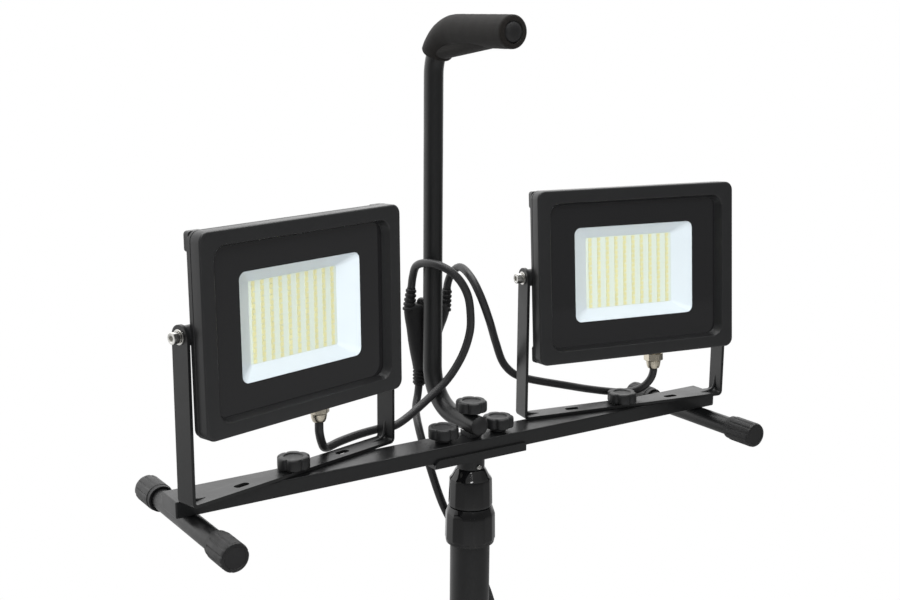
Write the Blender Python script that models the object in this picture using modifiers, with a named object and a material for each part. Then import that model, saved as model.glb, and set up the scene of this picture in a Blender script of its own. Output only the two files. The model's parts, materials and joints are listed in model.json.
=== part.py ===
"""Twin LED work light on a telescopic tripod.

Metres, +Z up, the lamps face -Y, the floor is z = 0. Every piece is one closed body.
A moving piece has its origin on its joint's axis.
"""
import math

import bmesh
import bpy
from mathutils import Matrix, Vector

MM = 0.001
GAP = 0.3 * MM  # clearance between neighbouring pieces
SIDES = 16  # of a round piece

# Mast and tripod
MAST_Y = 0.0987  # puts the middle of the whole stand over the origin
OUTER_R, MIDDLE_R, INNER_R, WALL = 0.0195, 0.0165, 0.0125, 0.0015
OUTER_Z = (0.250, 0.740)
MIDDLE_Z = (0.290, 0.777)
INNER_Z = (0.330, 0.794)
HUB_Z, HUB_REACH = 0.500, 0.040  # height and distance of the legs' hinges
LEG_ANGLE, LEG_R = math.radians(35.0), 0.011
LEG_HEADINGS = {1: -90.0, 2: 30.0, 3: 150.0}

# Crossbar and its own feet
BAR_Z, BAR_SIZE = 0.800, (0.617, 0.032, 0.015)
BAR_TOP = BAR_Z + BAR_SIZE[2]
FOOT_X, FOOT_HALF, PIPE_R = 0.2914, 0.0925, 0.0095
FOOT_Z = BAR_Z - GAP - PIPE_R
CAP_R, CAP_LONG = 0.0127, 0.035
SIDE_KNOB_X = 0.032

# Carry handle, bent in the YZ plane
HANDLE_Y, HANDLE_BEND = 0.0693, 0.042
LEG_LOW_Z, LEG_HIGH_Z = BAR_Z + 0.0283, BAR_Z + 0.3984
LOW_END_Y, HIGH_END_Y = -0.0140, -0.0570
GRIP_R, GRIP_START = 0.015, math.radians(28.0)

# Lamps, drawn about their tilt axis
LAMP_X, PIVOT_Z = 0.191, BAR_Z + 0.1592
TOE = {-1: 14.9, 1: -9.65}
TILT = {-1: 1.0, 1: 5.0}
LAMP_W, LAMP_H, FACE_Y = 0.2266, 0.1716, -0.0245
BRACKET_W, BRACKET_T, BRACKET_D = 0.2374, 0.003, 0.020
SLOT_X, SLOT_LONG, SLOT_WIDE = 0.0595, 0.015, 0.007
GLAND_X, GLAND_Y = 0.035, 0.006
STUD_R = 0.0038

# Cords
CORD_R = 0.004
SPLITTER = Vector((0.0055, 0.0930, 0.0965))  # from the mast's axis at the bar's underside
SPLITTER_LEAN = math.radians(7.0)
COIL_MAJOR, COIL_XY = 0.044, (-0.030, 0.345)

for old in list(bpy.data.objects):
    bpy.data.objects.remove(old, do_unlink=True)
work_light = bpy.data.collections.new("work_light")
cutters = bpy.data.collections.new("cutters")
for group in (work_light, cutters):
    bpy.context.scene.collection.children.link(group)

FINISHES = {
    "black_paint": ((0.030, 0.031, 0.032), 0.42, 0.0),
    "black_plastic": ((0.040, 0.041, 0.043), 0.55, 0.0),
    "gloss_plastic": ((0.020, 0.020, 0.022), 0.18, 0.0),
    "foam": ((0.045, 0.042, 0.040), 0.95, 0.0),
    "rubber": ((0.030, 0.030, 0.032), 0.65, 0.0),
    "cast_alloy": ((0.040, 0.041, 0.043), 0.45, 0.0),
    "steel": ((0.62, 0.61, 0.58), 0.28, 1.0),
    "nickel": ((0.70, 0.66, 0.56), 0.30, 1.0),
    "printed_glass": ((0.035, 0.036, 0.038), 0.08, 0.0),
    "white_reflector": ((0.86, 0.88, 0.90), 0.40, 0.0),
    "led_board": ((0.86, 0.89, 0.84), 0.50, 0.0),
}


def finish(obj, kind):
    """Gives a piece a material of its own."""
    colour, roughness, metallic = FINISHES[kind]
    material = bpy.data.materials.new(obj.name)
    material.use_nodes = True
    shader = material.node_tree.nodes["Principled BSDF"]
    shader.inputs["Base Color"].default_value = (*colour, 1.0)
    shader.inputs["Roughness"].default_value = roughness
    shader.inputs["Metallic"].default_value = metallic
    material.diffuse_color = (*colour, 1.0)
    obj.data.materials.clear()
    obj.data.materials.append(material)
    return obj


def placed(name, data, kind=None, at=None):
    """Puts a mesh or curve in the scene: a piece if it has a finish, or else a cutter."""
    obj = bpy.data.objects.new(name, data)
    (work_light if kind else cutters).objects.link(obj)
    obj.matrix_world = at or Matrix()
    if kind:
        return finish(obj, kind)
    obj.hide_render = True
    obj.display_type = "WIRE"
    return obj


def from_bmesh(name, bm, kind=None, at=None):
    mesh = bpy.data.meshes.new(name)
    bm.to_mesh(mesh)
    bm.free()
    mesh.shade_smooth()
    mesh.set_sharp_from_angle(angle=math.radians(35))
    return placed(name, mesh, kind, at)


def block(name, low, high, kind=None, at=None):
    low, high = Vector(low), Vector(high)
    bm = bmesh.new()
    sides = Matrix.Diagonal((*(high - low), 1.0))
    bmesh.ops.create_cube(bm, size=1.0, matrix=Matrix.Translation((low + high) / 2) @ sides)
    return from_bmesh(name, bm, kind, at)


def drum(name, radius, low, high, kind=None, at=None, sides=SIDES, top=None):
    """A cylinder along Z, or a cone if its top has a radius of its own."""
    bm = bmesh.new()
    bmesh.ops.create_cone(
        bm,
        cap_ends=True,
        segments=sides,
        radius1=radius,
        radius2=radius if top is None else top,
        depth=high - low,
        matrix=Matrix.Translation((0, 0, (low + high) / 2)),
    )
    return from_bmesh(name, bm, kind, at)


def turned(name, profile, kind=None, at=None, sides=SIDES, closed=False):
    """A profile of (radius, z) steps turned about Z. A closed profile makes a ring or a tube."""
    area = sum(r * w - q * z for (r, z), (q, w) in zip(profile, profile[1:] + profile[:1]))
    steps = profile if area < 0 else profile[::-1]  # top to bottom on the outer side
    mesh = bpy.data.meshes.new(name)
    edges = [(i, i + 1) for i in range(len(steps) - 1)]
    edges += [(len(steps) - 1, 0)] if closed else []
    mesh.from_pydata([(r, 0.0, z) for r, z in steps], edges, [])
    obj = placed(name, mesh, kind, at)
    screw = obj.modifiers.new("Screw", "SCREW")
    screw.steps = screw.render_steps = sides
    screw.use_merge_vertices = True
    screw.merge_threshold = 0.00005
    return obj


def tube(name, radius, low, high, kind=None, at=None, wall=WALL, sides=SIDES):
    profile = [(radius, high), (radius, low), (radius - wall, low), (radius - wall, high)]
    return turned(name, profile, kind, at, sides, closed=True)


def as_mesh(curve_object, name, kind, at):
    """A curve's evaluated shape as a mesh object, with its caps welded on."""
    bpy.context.scene.collection.objects.link(curve_object)
    depsgraph = bpy.context.evaluated_depsgraph_get()
    mesh = bpy.data.meshes.new_from_object(curve_object.evaluated_get(depsgraph))
    bm = bmesh.new()
    bm.from_mesh(mesh)
    bmesh.ops.remove_doubles(bm, verts=bm.verts, dist=0.00001)
    bmesh.ops.recalc_face_normals(bm, faces=bm.faces)
    curve = curve_object.data
    bpy.data.objects.remove(curve_object)
    bpy.data.curves.remove(curve)
    bpy.data.meshes.remove(mesh)
    return from_bmesh(name, bm, kind, at)


def poly_curve(name, points, cyclic=False):
    curve = bpy.data.curves.new(name, "CURVE")
    spline = curve.splines.new("POLY")
    spline.points.add(len(points) - 1)
    for p, q in zip(spline.points, points):
        p.co = (*q, 1.0)
    spline.use_cyclic_u = cyclic
    curve.render_resolution_u = 0
    return curve


PLANES = {  # turns a flat XY outline so that it is pushed along X, Y or Z
    "X": Matrix(((0, 0, 1, 0), (1, 0, 0, 0), (0, 1, 0, 0), (0, 0, 0, 1))),
    "Y": Matrix.Rotation(math.pi / 2, 4, "X"),
    "Z": Matrix(),
}


def flat(name, outline, low, high, along, kind=None, at=None):
    """A filled outline with thickness, from low to high along an axis."""
    curve = poly_curve(name, [(u, v, 0.0) for u, v in outline], cyclic=True)
    curve.dimensions = "2D"
    curve.fill_mode = "BOTH"
    curve.extrude = (high - low) / 2
    obj = as_mesh(bpy.data.objects.new(name, curve), name, kind, at)
    middle = Vector([(low + high) / 2 if along == letter else 0.0 for letter in "XYZ"])
    obj.data.transform(Matrix.Translation(middle) @ PLANES[along])
    return obj


def pipe(name, route, radius, kind=None, at=None, fineness=4):
    """A solid round bar along a route."""
    curve = poly_curve(name, route)
    curve.dimensions = "3D"
    curve.bevel_depth, curve.bevel_resolution = radius, fineness
    curve.use_fill_caps = True
    return as_mesh(bpy.data.objects.new(name, curve), name, kind, at)


def circle(radius, z, sides=SIDES):
    turn = math.tau / sides
    return [
        Vector((radius * math.cos(i * turn), radius * math.sin(i * turn), z)) for i in range(sides)
    ]


def loft(name, rings, kind=None, at=None, closed=False):
    """Joins unlike rings of equally many points, with its ends capped or joined to each other."""
    bm = bmesh.new()
    loops = [[bm.verts.new(p) for p in ring] for ring in rings]
    for a, b in list(zip(loops, loops[1:])) + ([(loops[-1], loops[0])] if closed else []):
        for i in range(len(a)):
            j = (i + 1) % len(a)
            bm.faces.new((a[i], a[j], b[j], b[i]))
    if not closed:
        bm.faces.new(loops[0])
        bm.faces.new(loops[-1])
    bmesh.ops.recalc_face_normals(bm, faces=bm.faces)
    return from_bmesh(name, bm, kind, at)


def rounded(half_x, half_z, radius, y, steps=2):
    """A rounded rectangle in the XZ plane."""
    points = []
    for quarter, (sx, sz) in enumerate(((1, 1), (-1, 1), (-1, -1), (1, -1))):
        for i in range(steps + 1):
            a = math.pi / 2 * (quarter + i / steps)
            x = sx * (half_x - radius) + radius * math.cos(a)
            points.append(Vector((x, y, sz * (half_z - radius) + radius * math.sin(a))))
    return points


def framed(name, loops, kind=None, at=None, closed=False):
    return loft(name, [rounded(*loop) for loop in loops], kind, at, closed)


def boolean(obj, *others, how="DIFFERENCE"):
    for other in others:
        modifier = obj.modifiers.new(other.name, "BOOLEAN")
        modifier.operation = how
        modifier.solver = "EXACT"
        modifier.object = other
    return obj


def shift(x=0.0, y=0.0, z=0.0):
    return Matrix.Translation((x, y, z))


def turn_about(axis, degrees):
    return Matrix.Rotation(math.radians(degrees), 4, axis)


ALONG_Y = turn_about("X", -90)  # local +Z to +Y
ALONG_X = turn_about("Y", 90)  # local +Z to +X
MAST = shift(y=MAST_Y)
HEAD = shift(y=MAST_Y, z=BAR_Z)


def lobed(radius, z, lobes=6, depth=0.085, sides=24):
    points = circle(radius, z, sides)
    for i, p in enumerate(points):
        wave = abs(math.cos(lobes / 2 * math.tau * i / sides))
        scale = 1.0 - depth * (1.0 - wave) ** 2.2 * 1.6
        p.x, p.y = p.x * scale, p.y * scale
    return points


def knob(name, at, neck, stud):
    """A six-lobed knob that stands on z = 0, with its stud pointing down."""
    top = neck + 11 * MM
    rings = [
        lobed(15.2 * MM, neck),
        lobed(15.2 * MM, top - 1.2 * MM),
        lobed(14.0 * MM, top),
        circle(9.0 * MM, top - 0.8 * MM, 24),
    ]
    obj = loft(name, rings, "black_plastic", at)
    shank = drum(f"{name}_stud", STUD_R, -stud, neck + 2 * MM, at=at, sides=12)
    collar = drum(f"{name}_neck", 8.0 * MM, 0.0, neck + 1 * MM, at=at)
    return boolean(obj, collar, shank, how="UNION")


# ---------------------------------------------------------------- tripod
tube("mast_outer_tube", OUTER_R, *OUTER_Z, "black_paint", MAST)
low = OUTER_Z[0]
turned(
    "mast_bottom_plug",
    [
        (0, low - 0.006),
        (OUTER_R - 0.002, low - 0.006),
        (OUTER_R, low - 0.004),
        (OUTER_R, low - GAP),
        (OUTER_R - WALL - GAP, low - GAP),
        (OUTER_R - WALL - GAP, low + 0.020),
        (0, low + 0.020),
    ],
    "black_plastic",
    MAST,
)

hub = turned(
    "leg_hub",
    [
        (OUTER_R + GAP, HUB_Z - 0.020),
        (0.0275, HUB_Z - 0.020),
        (0.0275, HUB_Z + 0.0140),
        (0.0500, HUB_Z + 0.0140),
        (0.0510, HUB_Z + 0.0190),
        (0.0290, HUB_Z + 0.0250),
        (0.0260, HUB_Z + 0.0450),
        (OUTER_R + GAP, HUB_Z + 0.0450),
    ],
    "black_plastic",
    MAST,
    closed=True,
)
for number, heading in LEG_HEADINGS.items():
    spoke = MAST @ turn_about("Z", heading) @ shift(HUB_REACH, 0, HUB_Z)
    ears = []
    for side in (-1, 1):
        low_y, high_y = sorted((side * 7.0 * MM, side * 12.0 * MM))
        outline = [(-0.0185, -0.0150), (0.0040, -0.0115), (0.0085, -0.0070), (0.0100, 0.0)]
        outline += [(0.0100, 0.0155), (-0.0185, 0.0155)]
        ears.append(flat(f"ear_{number}_{side}", outline, low_y, high_y, "Y", at=spoke))
    boolean(hub, *ears, how="UNION")
for number, heading in LEG_HEADINGS.items():
    spoke = MAST @ turn_about("Z", heading) @ shift(HUB_REACH, 0, HUB_Z)
    boolean(hub, drum(f"hinge_hole_{number}", 3.3 * MM, -0.02, 0.02, at=spoke @ ALONG_Y, sides=12))

    leg = spoke @ turn_about("Y", -math.degrees(LEG_ANGLE))
    length = HUB_Z / math.cos(LEG_ANGLE)
    knuckle = turned(
        f"leg_knuckle_{number}",
        [
            (0, -0.075),
            (LEG_R - WALL - GAP, -0.075),
            (LEG_R - WALL - GAP, -0.0350 - GAP),
            (LEG_R + 0.001, -0.0350),
            (LEG_R + 0.001, -0.0160),
            (6.4 * MM, -0.0130),
            (6.4 * MM, 0.0),
            (0, 0.0),
        ],
        "black_plastic",
        leg,
    )
    eye = drum(f"eye_{number}", 10.0 * MM, -6.6 * MM, 6.6 * MM, at=leg @ ALONG_Y)
    pin = drum(f"pin_{number}", 3.0 * MM, -12.6 * MM, 12.6 * MM, at=leg @ ALONG_Y, sides=12)
    heel = block(
        f"heel_{number}", (-0.002, -6.0 * MM, 0.002), (9.0 * MM, 6.0 * MM, 13.5 * MM), at=spoke
    )
    boolean(knuckle, eye, pin, heel, how="UNION")
    tube(f"leg_tube_{number}", LEG_R, -length + 0.012, -0.0355, "black_paint", leg)
    boot = turned(
        f"leg_foot_{number}",
        [
            (0, -length - 0.030),
            (0.0145, -length - 0.030),
            (0.0145, -length + 0.030),
            (0.0130, -length + 0.040),
            (LEG_R + GAP, -length + 0.040),
            (LEG_R + GAP, -length + 0.0117),
            (0, -length + 0.0117),
        ],
        "rubber",
        leg,
    )
    reach = HUB_Z * math.tan(LEG_ANGLE)
    floor = block(
        f"floor_cut_{number}", (reach - 0.08, -0.05, -HUB_Z - 0.08), (reach + 0.08, 0.05, -HUB_Z), at=spoke
    )
    boolean(boot, floor)

# ---------------------------------------------------------------- telescopic mast
tube("mast_middle_tube", MIDDLE_R, *MIDDLE_Z, "black_paint", MAST)
tube("mast_inner_tube", INNER_R, *INNER_Z, "black_paint", MAST)
turned(
    "lower_twist_collar",
    [
        (OUTER_R + GAP, 0.7075),
        (0.0222, 0.7075),
        (0.0246, 0.7115),
        (0.0241, 0.7370),
        (0.0216, 0.7450),
        (MIDDLE_R + GAP, 0.7450),
        (MIDDLE_R + GAP, OUTER_Z[1] + GAP),
        (OUTER_R + GAP, OUTER_Z[1] + GAP),
    ],
    "gloss_plastic",
    MAST,
    sides=20,
    closed=True,
)
turned(
    "upper_twist_collar",
    [
        (MIDDLE_R + GAP, 0.7453),
        (0.0215, 0.7453),
        (0.0207, 0.7730),
        (0.0135, 0.7833),
        (INNER_R + GAP, 0.7833),
        (INNER_R + GAP, MIDDLE_Z[1] + GAP),
        (MIDDLE_R + GAP, MIDDLE_Z[1] + GAP),
    ],
    "gloss_plastic",
    MAST,
    sides=20,
    closed=True,
)

# ---------------------------------------------------------------- head: saddle, crossbar and feet
half_d = BAR_SIZE[1] / 2 + GAP
saddle = flat(
    "mast_saddle",
    [
        (-half_d - 0.0025, -0.0043),
        (half_d + 0.0025, -0.0043),
        (half_d + 0.0025, 0.0040),
        (half_d, 0.0040),
        (half_d, -GAP),
        (-half_d, -GAP),
        (-half_d, 0.0040),
        (-half_d - 0.0025, 0.0040),
    ],
    -0.053,
    0.053,
    "X",
    "black_paint",
    HEAD,
)
socket = drum("socket", 0.0135, -0.0162, -0.0030, at=HEAD)
bore = drum("socket_bore", INNER_R + GAP, -0.0262, -0.0053, at=HEAD)
screw_at = HEAD @ shift(0, -0.0155, -0.0133) @ ALONG_Y
screw_hole = drum("screw_hole", 1.8 * MM, 0.0, 0.006, at=screw_at, sides=12)
boolean(saddle, socket, how="UNION")
boolean(saddle, bore, screw_hole)
for side in (-1, 1):
    at = HEAD @ shift(x=side * SIDE_KNOB_X)
    boolean(saddle, drum(f"saddle_hole_{side}", STUD_R + GAP, -0.01, 0.005, at=at, sides=12))
turned(
    "head_screw",
    [
        (0, 0.0007),
        (1.5 * MM, 0.0007),
        (1.5 * MM, -0.0003),
        (2.5 * MM, -0.0003),
        (2.5 * MM, -0.0010),
        (1.7 * MM, -0.0020),
        (0, -0.0022),
    ],
    "steel",
    HEAD @ shift(0, -0.0135, -0.0133) @ ALONG_Y,
    sides=12,
)

half_l = BAR_SIZE[0] / 2
bar = block(
    "crossbar",
    (-half_l, -BAR_SIZE[1] / 2, 0),
    (half_l, BAR_SIZE[1] / 2, BAR_SIZE[2]),
    "black_paint",
    HEAD,
)
hollow = block(
    "crossbar_hollow",
    (-half_l + WALL, -BAR_SIZE[1] / 2 + WALL, WALL),
    (half_l - WALL, BAR_SIZE[1] / 2 - WALL, BAR_SIZE[2] - WALL),
    at=HEAD,
)
through = -0.002
for index, (x, low) in enumerate(
    ((-LAMP_X, 0.007), (LAMP_X, 0.007), (0, 0.007), (-SIDE_KNOB_X, through), (SIDE_KNOB_X, through))
):
    boolean(bar, drum(f"bar_hole_{index}", STUD_R + GAP, low, 0.02, at=HEAD @ shift(x=x), sides=12))
boolean(bar, hollow)


def ribbed(radius, z, groove=0.8 * MM):
    """A ring with twelve grooves."""
    points = circle(radius, z, 24)
    for p in points[::2]:
        p.x, p.y = p.x * (1 - groove / radius), p.y * (1 - groove / radius)
    return points


def foot_cap(name, at):
    """A ribbed cap over a pipe that ends at z = 0 and comes from below."""
    rings = [circle(0.0118, -CAP_LONG + 0.0028, 24), ribbed(CAP_R, -CAP_LONG + 0.005)]
    rings += [ribbed(CAP_R, 0.0018), circle(0.0118, 0.0028, 24)]
    bore = drum(f"{name}_bore", PIPE_R + GAP, -CAP_LONG, GAP, at=at)
    return boolean(loft(name, rings, "black_plastic", at), bore)


for side, word in ((-1, "left"), (1, "right")):
    axis = HEAD @ shift(side * FOOT_X, 0, FOOT_Z - BAR_Z)
    tube(f"foot_tube_{word}", PIPE_R, -FOOT_HALF, FOOT_HALF, "black_paint", axis @ ALONG_Y)
    foot_cap(f"foot_cap_{word}_rear", axis @ shift(y=FOOT_HALF) @ ALONG_Y)
    foot_cap(f"foot_cap_{word}_front", axis @ shift(y=-FOOT_HALF) @ turn_about("X", 90))
    stand = HEAD @ shift(side * SIDE_KNOB_X, 0, BAR_SIZE[2] + GAP)
    knob(f"bar_knob_{word}", stand, 3.5 * MM, 0.0215)

# ---------------------------------------------------------------- carry handle
low_z, high_z = LEG_LOW_Z - BAR_Z, LEG_HIGH_Z - BAR_Z


def handle_bend(angle, upper):
    """A point of the handle's bend, at an angle from its upright."""
    middle = high_z - HANDLE_BEND if upper else low_z + HANDLE_BEND
    rise = HANDLE_BEND * math.sin(angle) * (1 if upper else -1)
    return Vector((0, HANDLE_Y - HANDLE_BEND + HANDLE_BEND * math.cos(angle), middle + rise))


def bored(name, route, radius, bore, kind, *drills):
    """A tube along a route, open at both ends. It is drilled while it is still solid."""
    first, last = route[0] - route[1], route[-1] - route[-2]
    longer = [route[0] + 0.002 * first.normalized()] + route + [route[-1] + 0.002 * last.normalized()]
    inner = pipe(f"{name}_bore", longer, bore, at=HEAD)
    return boolean(pipe(name, route, radius, kind, HEAD), *drills, inner)


quarter = [math.pi / 2 * i / 6 for i in range(7)]
handle_route = (
    [Vector((0, LOW_END_Y, low_z))]
    + [handle_bend(a, False) for a in reversed(quarter)]
    + [handle_bend(a, True) for a in quarter]
    + [Vector((0, HIGH_END_Y, high_z))]
)
stud_hole_at = HEAD @ shift(z=0.01) @ turn_about("Z", 15)
stud_hole = drum("handle_hole", STUD_R + GAP, 0.0, 0.05, at=stud_hole_at, sides=12)
bored("handle_tube", handle_route, PIPE_R, PIPE_R - WALL, "black_paint", stud_hole)

angles = [GRIP_START + (math.pi / 2 - GRIP_START) * i / 4 for i in range(5)]
grip_route = [handle_bend(a, True) for a in angles] + [Vector((0, HIGH_END_Y - 0.002, high_z))]
bored("handle_grip", grip_route, GRIP_R, PIPE_R + 2 * GAP, "foam")

plug = [
    (0, 0.0045),
    (0.0045, 0.0041),
    (0.0078, 0.0028),
    (0.0094, 0.0008),
    (0.0094, GAP),
    (PIPE_R - WALL - 2 * GAP, GAP),
    (PIPE_R - WALL - 2 * GAP, -0.010),
    (0, -0.010),
]
for word, y, z in (("low", LOW_END_Y, low_z), ("high", HIGH_END_Y, high_z)):
    turned(f"handle_plug_{word}", plug, "black_plastic", HEAD @ shift(0, y, z) @ turn_about("X", 90))

cradle = block(
    "handle_cradle",
    (-0.0065, -0.009, BAR_SIZE[2] + GAP),
    (0.0065, 0.009, 0.0205),
    "black_plastic",
    HEAD,
)
trough = drum("cradle_trough", PIPE_R + GAP, -0.02, 0.02, at=HEAD @ shift(z=low_z) @ ALONG_Y, sides=24)
stud_way = drum("cradle_hole", STUD_R + GAP, 0.0, 0.05, at=HEAD @ shift(z=0.01), sides=12)
boolean(cradle, trough, stud_way)
knob("handle_knob", HEAD @ shift(z=low_z + PIPE_R + GAP), 1.6 * MM, 0.0340)


# ---------------------------------------------------------------- lamps
def strip(name, at):
    """The lamp's bracket: a flat strip bent up at both ends, with round tops."""
    half, arm, bend, t = BRACKET_W / 2, PIVOT_Z - BAR_TOP - GAP, 0.005, BRACKET_T
    top, wide = arm + BRACKET_D / 2, BRACKET_D / 2
    arc = [math.pi / 2 * i / 3 for i in range(4)]
    outer = [(half - bend + bend * math.sin(a), bend - bend * math.cos(a)) for a in arc] + [(half, top)]
    r = bend - t
    inner = [(half - t, top)]
    inner += [(half - bend + r * math.sin(a), bend - r * math.cos(a)) for a in reversed(arc)]
    right = outer + inner
    outline = right + [(-x, z) for x, z in reversed(right)]
    obj = flat(name, outline, -wide, wide, "Y", "black_paint", at)
    # the arms' tops are rounded by keeping only what lies inside a round-topped slab
    dome = [(wide * math.cos(a), arm + wide * math.sin(a)) for a in (math.pi * i / 8 for i in range(9))]
    slab = [(-wide - 0.001, -0.001), (wide + 0.001, -0.001), (wide + 0.001, arm)] + dome
    slab += [(-wide - 0.001, arm)]
    boolean(obj, flat(f"{name}_slab", slab, -0.2, 0.2, "X", at=at), how="INTERSECT")
    drills = [
        drum(f"{name}_pivots", 3.3 * MM, -0.15, 0.15, at=at @ shift(z=arm) @ ALONG_X, sides=12),
        drum(f"{name}_centre", STUD_R + GAP, -0.01, 0.01, at=at, sides=12),
    ]
    for side in (-1, 1):
        outline = []
        for end in (1, -1):
            for i in range(4):
                a = math.pi * (i / 3 - 0.5)
                r = SLOT_WIDE / 2
                x = end * ((SLOT_LONG - SLOT_WIDE) / 2 + r * math.cos(a)) + side * SLOT_X
                outline.append((x, end * r * math.sin(a)))
        drills.append(flat(f"{name}_slot_{side}", outline, -0.01, 0.01, "Z", at=at))
    return boolean(obj, *drills)


def slab(name, half_x, half_z, radius, near, far, kind, at):
    """A flat plate with rounded corners, from y = near to y = far."""
    obj = block(name, (-half_x, near, -half_z), (half_x, far, half_z), kind, at)
    attribute = obj.data.attributes.new("bevel_weight_edge", "FLOAT", "EDGE")
    for edge, weight in zip(obj.data.edges, attribute.data):
        a, b = (obj.data.vertices[i].co for i in edge.vertices)
        weight.value = 1.0 if abs(a.y - b.y) > 0.5 * (far - near) else 0.0
    bevel = obj.modifiers.new("Corners", "BEVEL")
    bevel.limit_method = "WEIGHT"
    bevel.width, bevel.segments = radius, 2
    return obj


def hexagon(across, z, sides=12):
    """A hexagon with as many points as a circle, so that the two can be joined."""
    points = []
    for i in range(sides):
        a = math.tau * i / sides
        inside = (a + math.pi / 6) % (math.pi / 3) - math.pi / 6
        r = across / 2 / math.cos(inside)
        points.append(Vector((r * math.cos(a), r * math.sin(a), z)))
    return points


for side, word in ((-1, "left"), (1, "right")):
    base = HEAD @ shift(side * LAMP_X, 0, BAR_SIZE[2] + GAP) @ turn_about("Z", TOE[side])
    strip(f"bracket_{word}", base)
    knob(f"bracket_knob_{word}", base @ shift(z=BRACKET_T + GAP), 0.0, 0.0100)
    lamp = HEAD @ shift(side * LAMP_X, 0, PIVOT_Z - BAR_Z) @ turn_about("Z", TOE[side])
    lamp = lamp @ turn_about("X", -TILT[side])
    hw, hh, face = LAMP_W / 2, LAMP_H / 2, FACE_Y

    framed(
        f"front_bezel_{word}",
        [
            (hw - 0.0015, hh - 0.0015, 0.0070, face),
            (hw, hh, 0.0085, face + 0.0015),
            (hw, hh, 0.0085, -0.0092),
            (0.1005, 0.0750, 0.0130, -0.0092),
            (0.1005, 0.0750, 0.0130, -0.0164),
            (0.0960, 0.0705, 0.0100, -0.0164),
            (0.1000, 0.0735, 0.0120, face),
        ],
        "cast_alloy",
        lamp,
        closed=True,
    )
    slab(f"glass_{word}", 0.1000, 0.0745, 0.0130, -0.0160, -0.0125, "printed_glass", lamp)
    framed(
        f"reflector_{word}",
        [
            (0.0705, 0.0490, 0.0080, -0.0121),
            (0.0504, 0.0360, 0.0020, -0.0048),
            (0.0520, 0.0376, 0.0020, -0.0048),
            (0.0718, 0.0504, 0.0080, -0.0109),
            (0.0960, 0.0700, 0.0090, -0.0109),
            (0.0960, 0.0700, 0.0090, -0.0121),
        ],
        "white_reflector",
        lamp,
        closed=True,
    )
    slab(f"led_board_{word}", 0.0540, 0.0400, 0.0020, -0.0044, -0.0028, "led_board", lamp)

    housing = framed(
        f"rear_housing_{word}",
        [
            (0.1000, 0.0745, 0.0100, -0.0025),
            (0.1000, 0.0745, 0.0100, -0.0088),
            (0.1125, 0.0851, 0.0080, -0.0088),
            (0.1125, 0.0851, 0.0080, -0.0060),
            (0.1040, 0.0775, 0.0120, -0.0030),
            (0.1030, 0.0765, 0.0120, 0.0020),
            (0.0980, 0.0720, 0.0140, 0.0045),
        ],
        "cast_alloy",
        lamp,
    )
    fins = framed(
        f"fin_block_{word}", [(0.0960, 0.0560, 0.0060, 0.0030), (0.0880, 0.0440, 0.0060, 0.0200)], at=lamp
    )
    pad_low, pad_high = (GLAND_X - 0.013, -0.0055, -0.0840), (GLAND_X + 0.013, 0.0180, -0.0600)
    gland_pad = block(f"gland_pad_{word}", pad_low, pad_high, at=lamp)
    boss = drum(f"pivot_boss_{word}", 8.5 * MM, -0.1154, 0.1154, at=lamp @ ALONG_X)
    tray_low, tray_high = (-0.0990, -0.0500, -0.0735), (0.0990, -0.0025, 0.0735)
    inner_cut = block(f"housing_tray_{word}", tray_low, tray_high, at=lamp)
    boolean(housing, fins, gland_pad, boss, how="UNION")
    boolean(housing, inner_cut)
    for i in range(7):
        x = -0.0825 + i * 0.0240
        slot = block(f"fin_slot_{word}_{i}", (x, 0.0060, -0.07), (x + 0.0210, 0.03, 0.07), at=lamp)
        boolean(housing, slot)
    for end in (-1, 1):
        near, far = sorted((end * 0.1060, end * 0.1200))
        hole = drum(f"bolt_hole_{word}_{end}", 3.3 * MM, near, far, at=lamp @ ALONG_X, sides=12)
        boolean(housing, hole)
    gland_at = lamp @ shift(GLAND_X, GLAND_Y)
    boolean(housing, drum(f"gland_hole_{word}", 6.3 * MM, -0.0860, -0.0770, at=gland_at, sides=12))

    for end, inward in ((-1, "left"), (1, "right")):
        turned(
            f"pivot_bolt_{word}_{inward}",
            [
                (0, 0.1070),
                (3.0 * MM, 0.1070),
                (3.0 * MM, 0.1190),
                (6.5 * MM, 0.1190),
                (6.5 * MM, 0.1205),
                (5.0 * MM, 0.1205),
                (5.0 * MM, 0.1268),
                (2.5 * MM, 0.1268),
                (2.5 * MM, 0.1240),
                (0, 0.1240),
            ],
            "steel",
            lamp @ turn_about("Y", 90 * end),
            sides=12,
        )

    pipe_end = ((4.5, -0.1065), (4.5, -0.0780), (5.9, -0.0780), (5.9, -0.0843))
    rings = [circle(r * MM, z, 12) for r, z in pipe_end]
    rings += [hexagon(18.5 * MM, -0.0843), hexagon(18.5 * MM, -0.0895), circle(8.2 * MM, -0.0895, 12)]
    rings += [hexagon(17.5 * MM, -0.0905), hexagon(17.5 * MM, -0.0985), circle(6.6 * MM, -0.1065, 12)]
    loft(f"gland_{word}", rings, "nickel", gland_at, closed=True)


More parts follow.
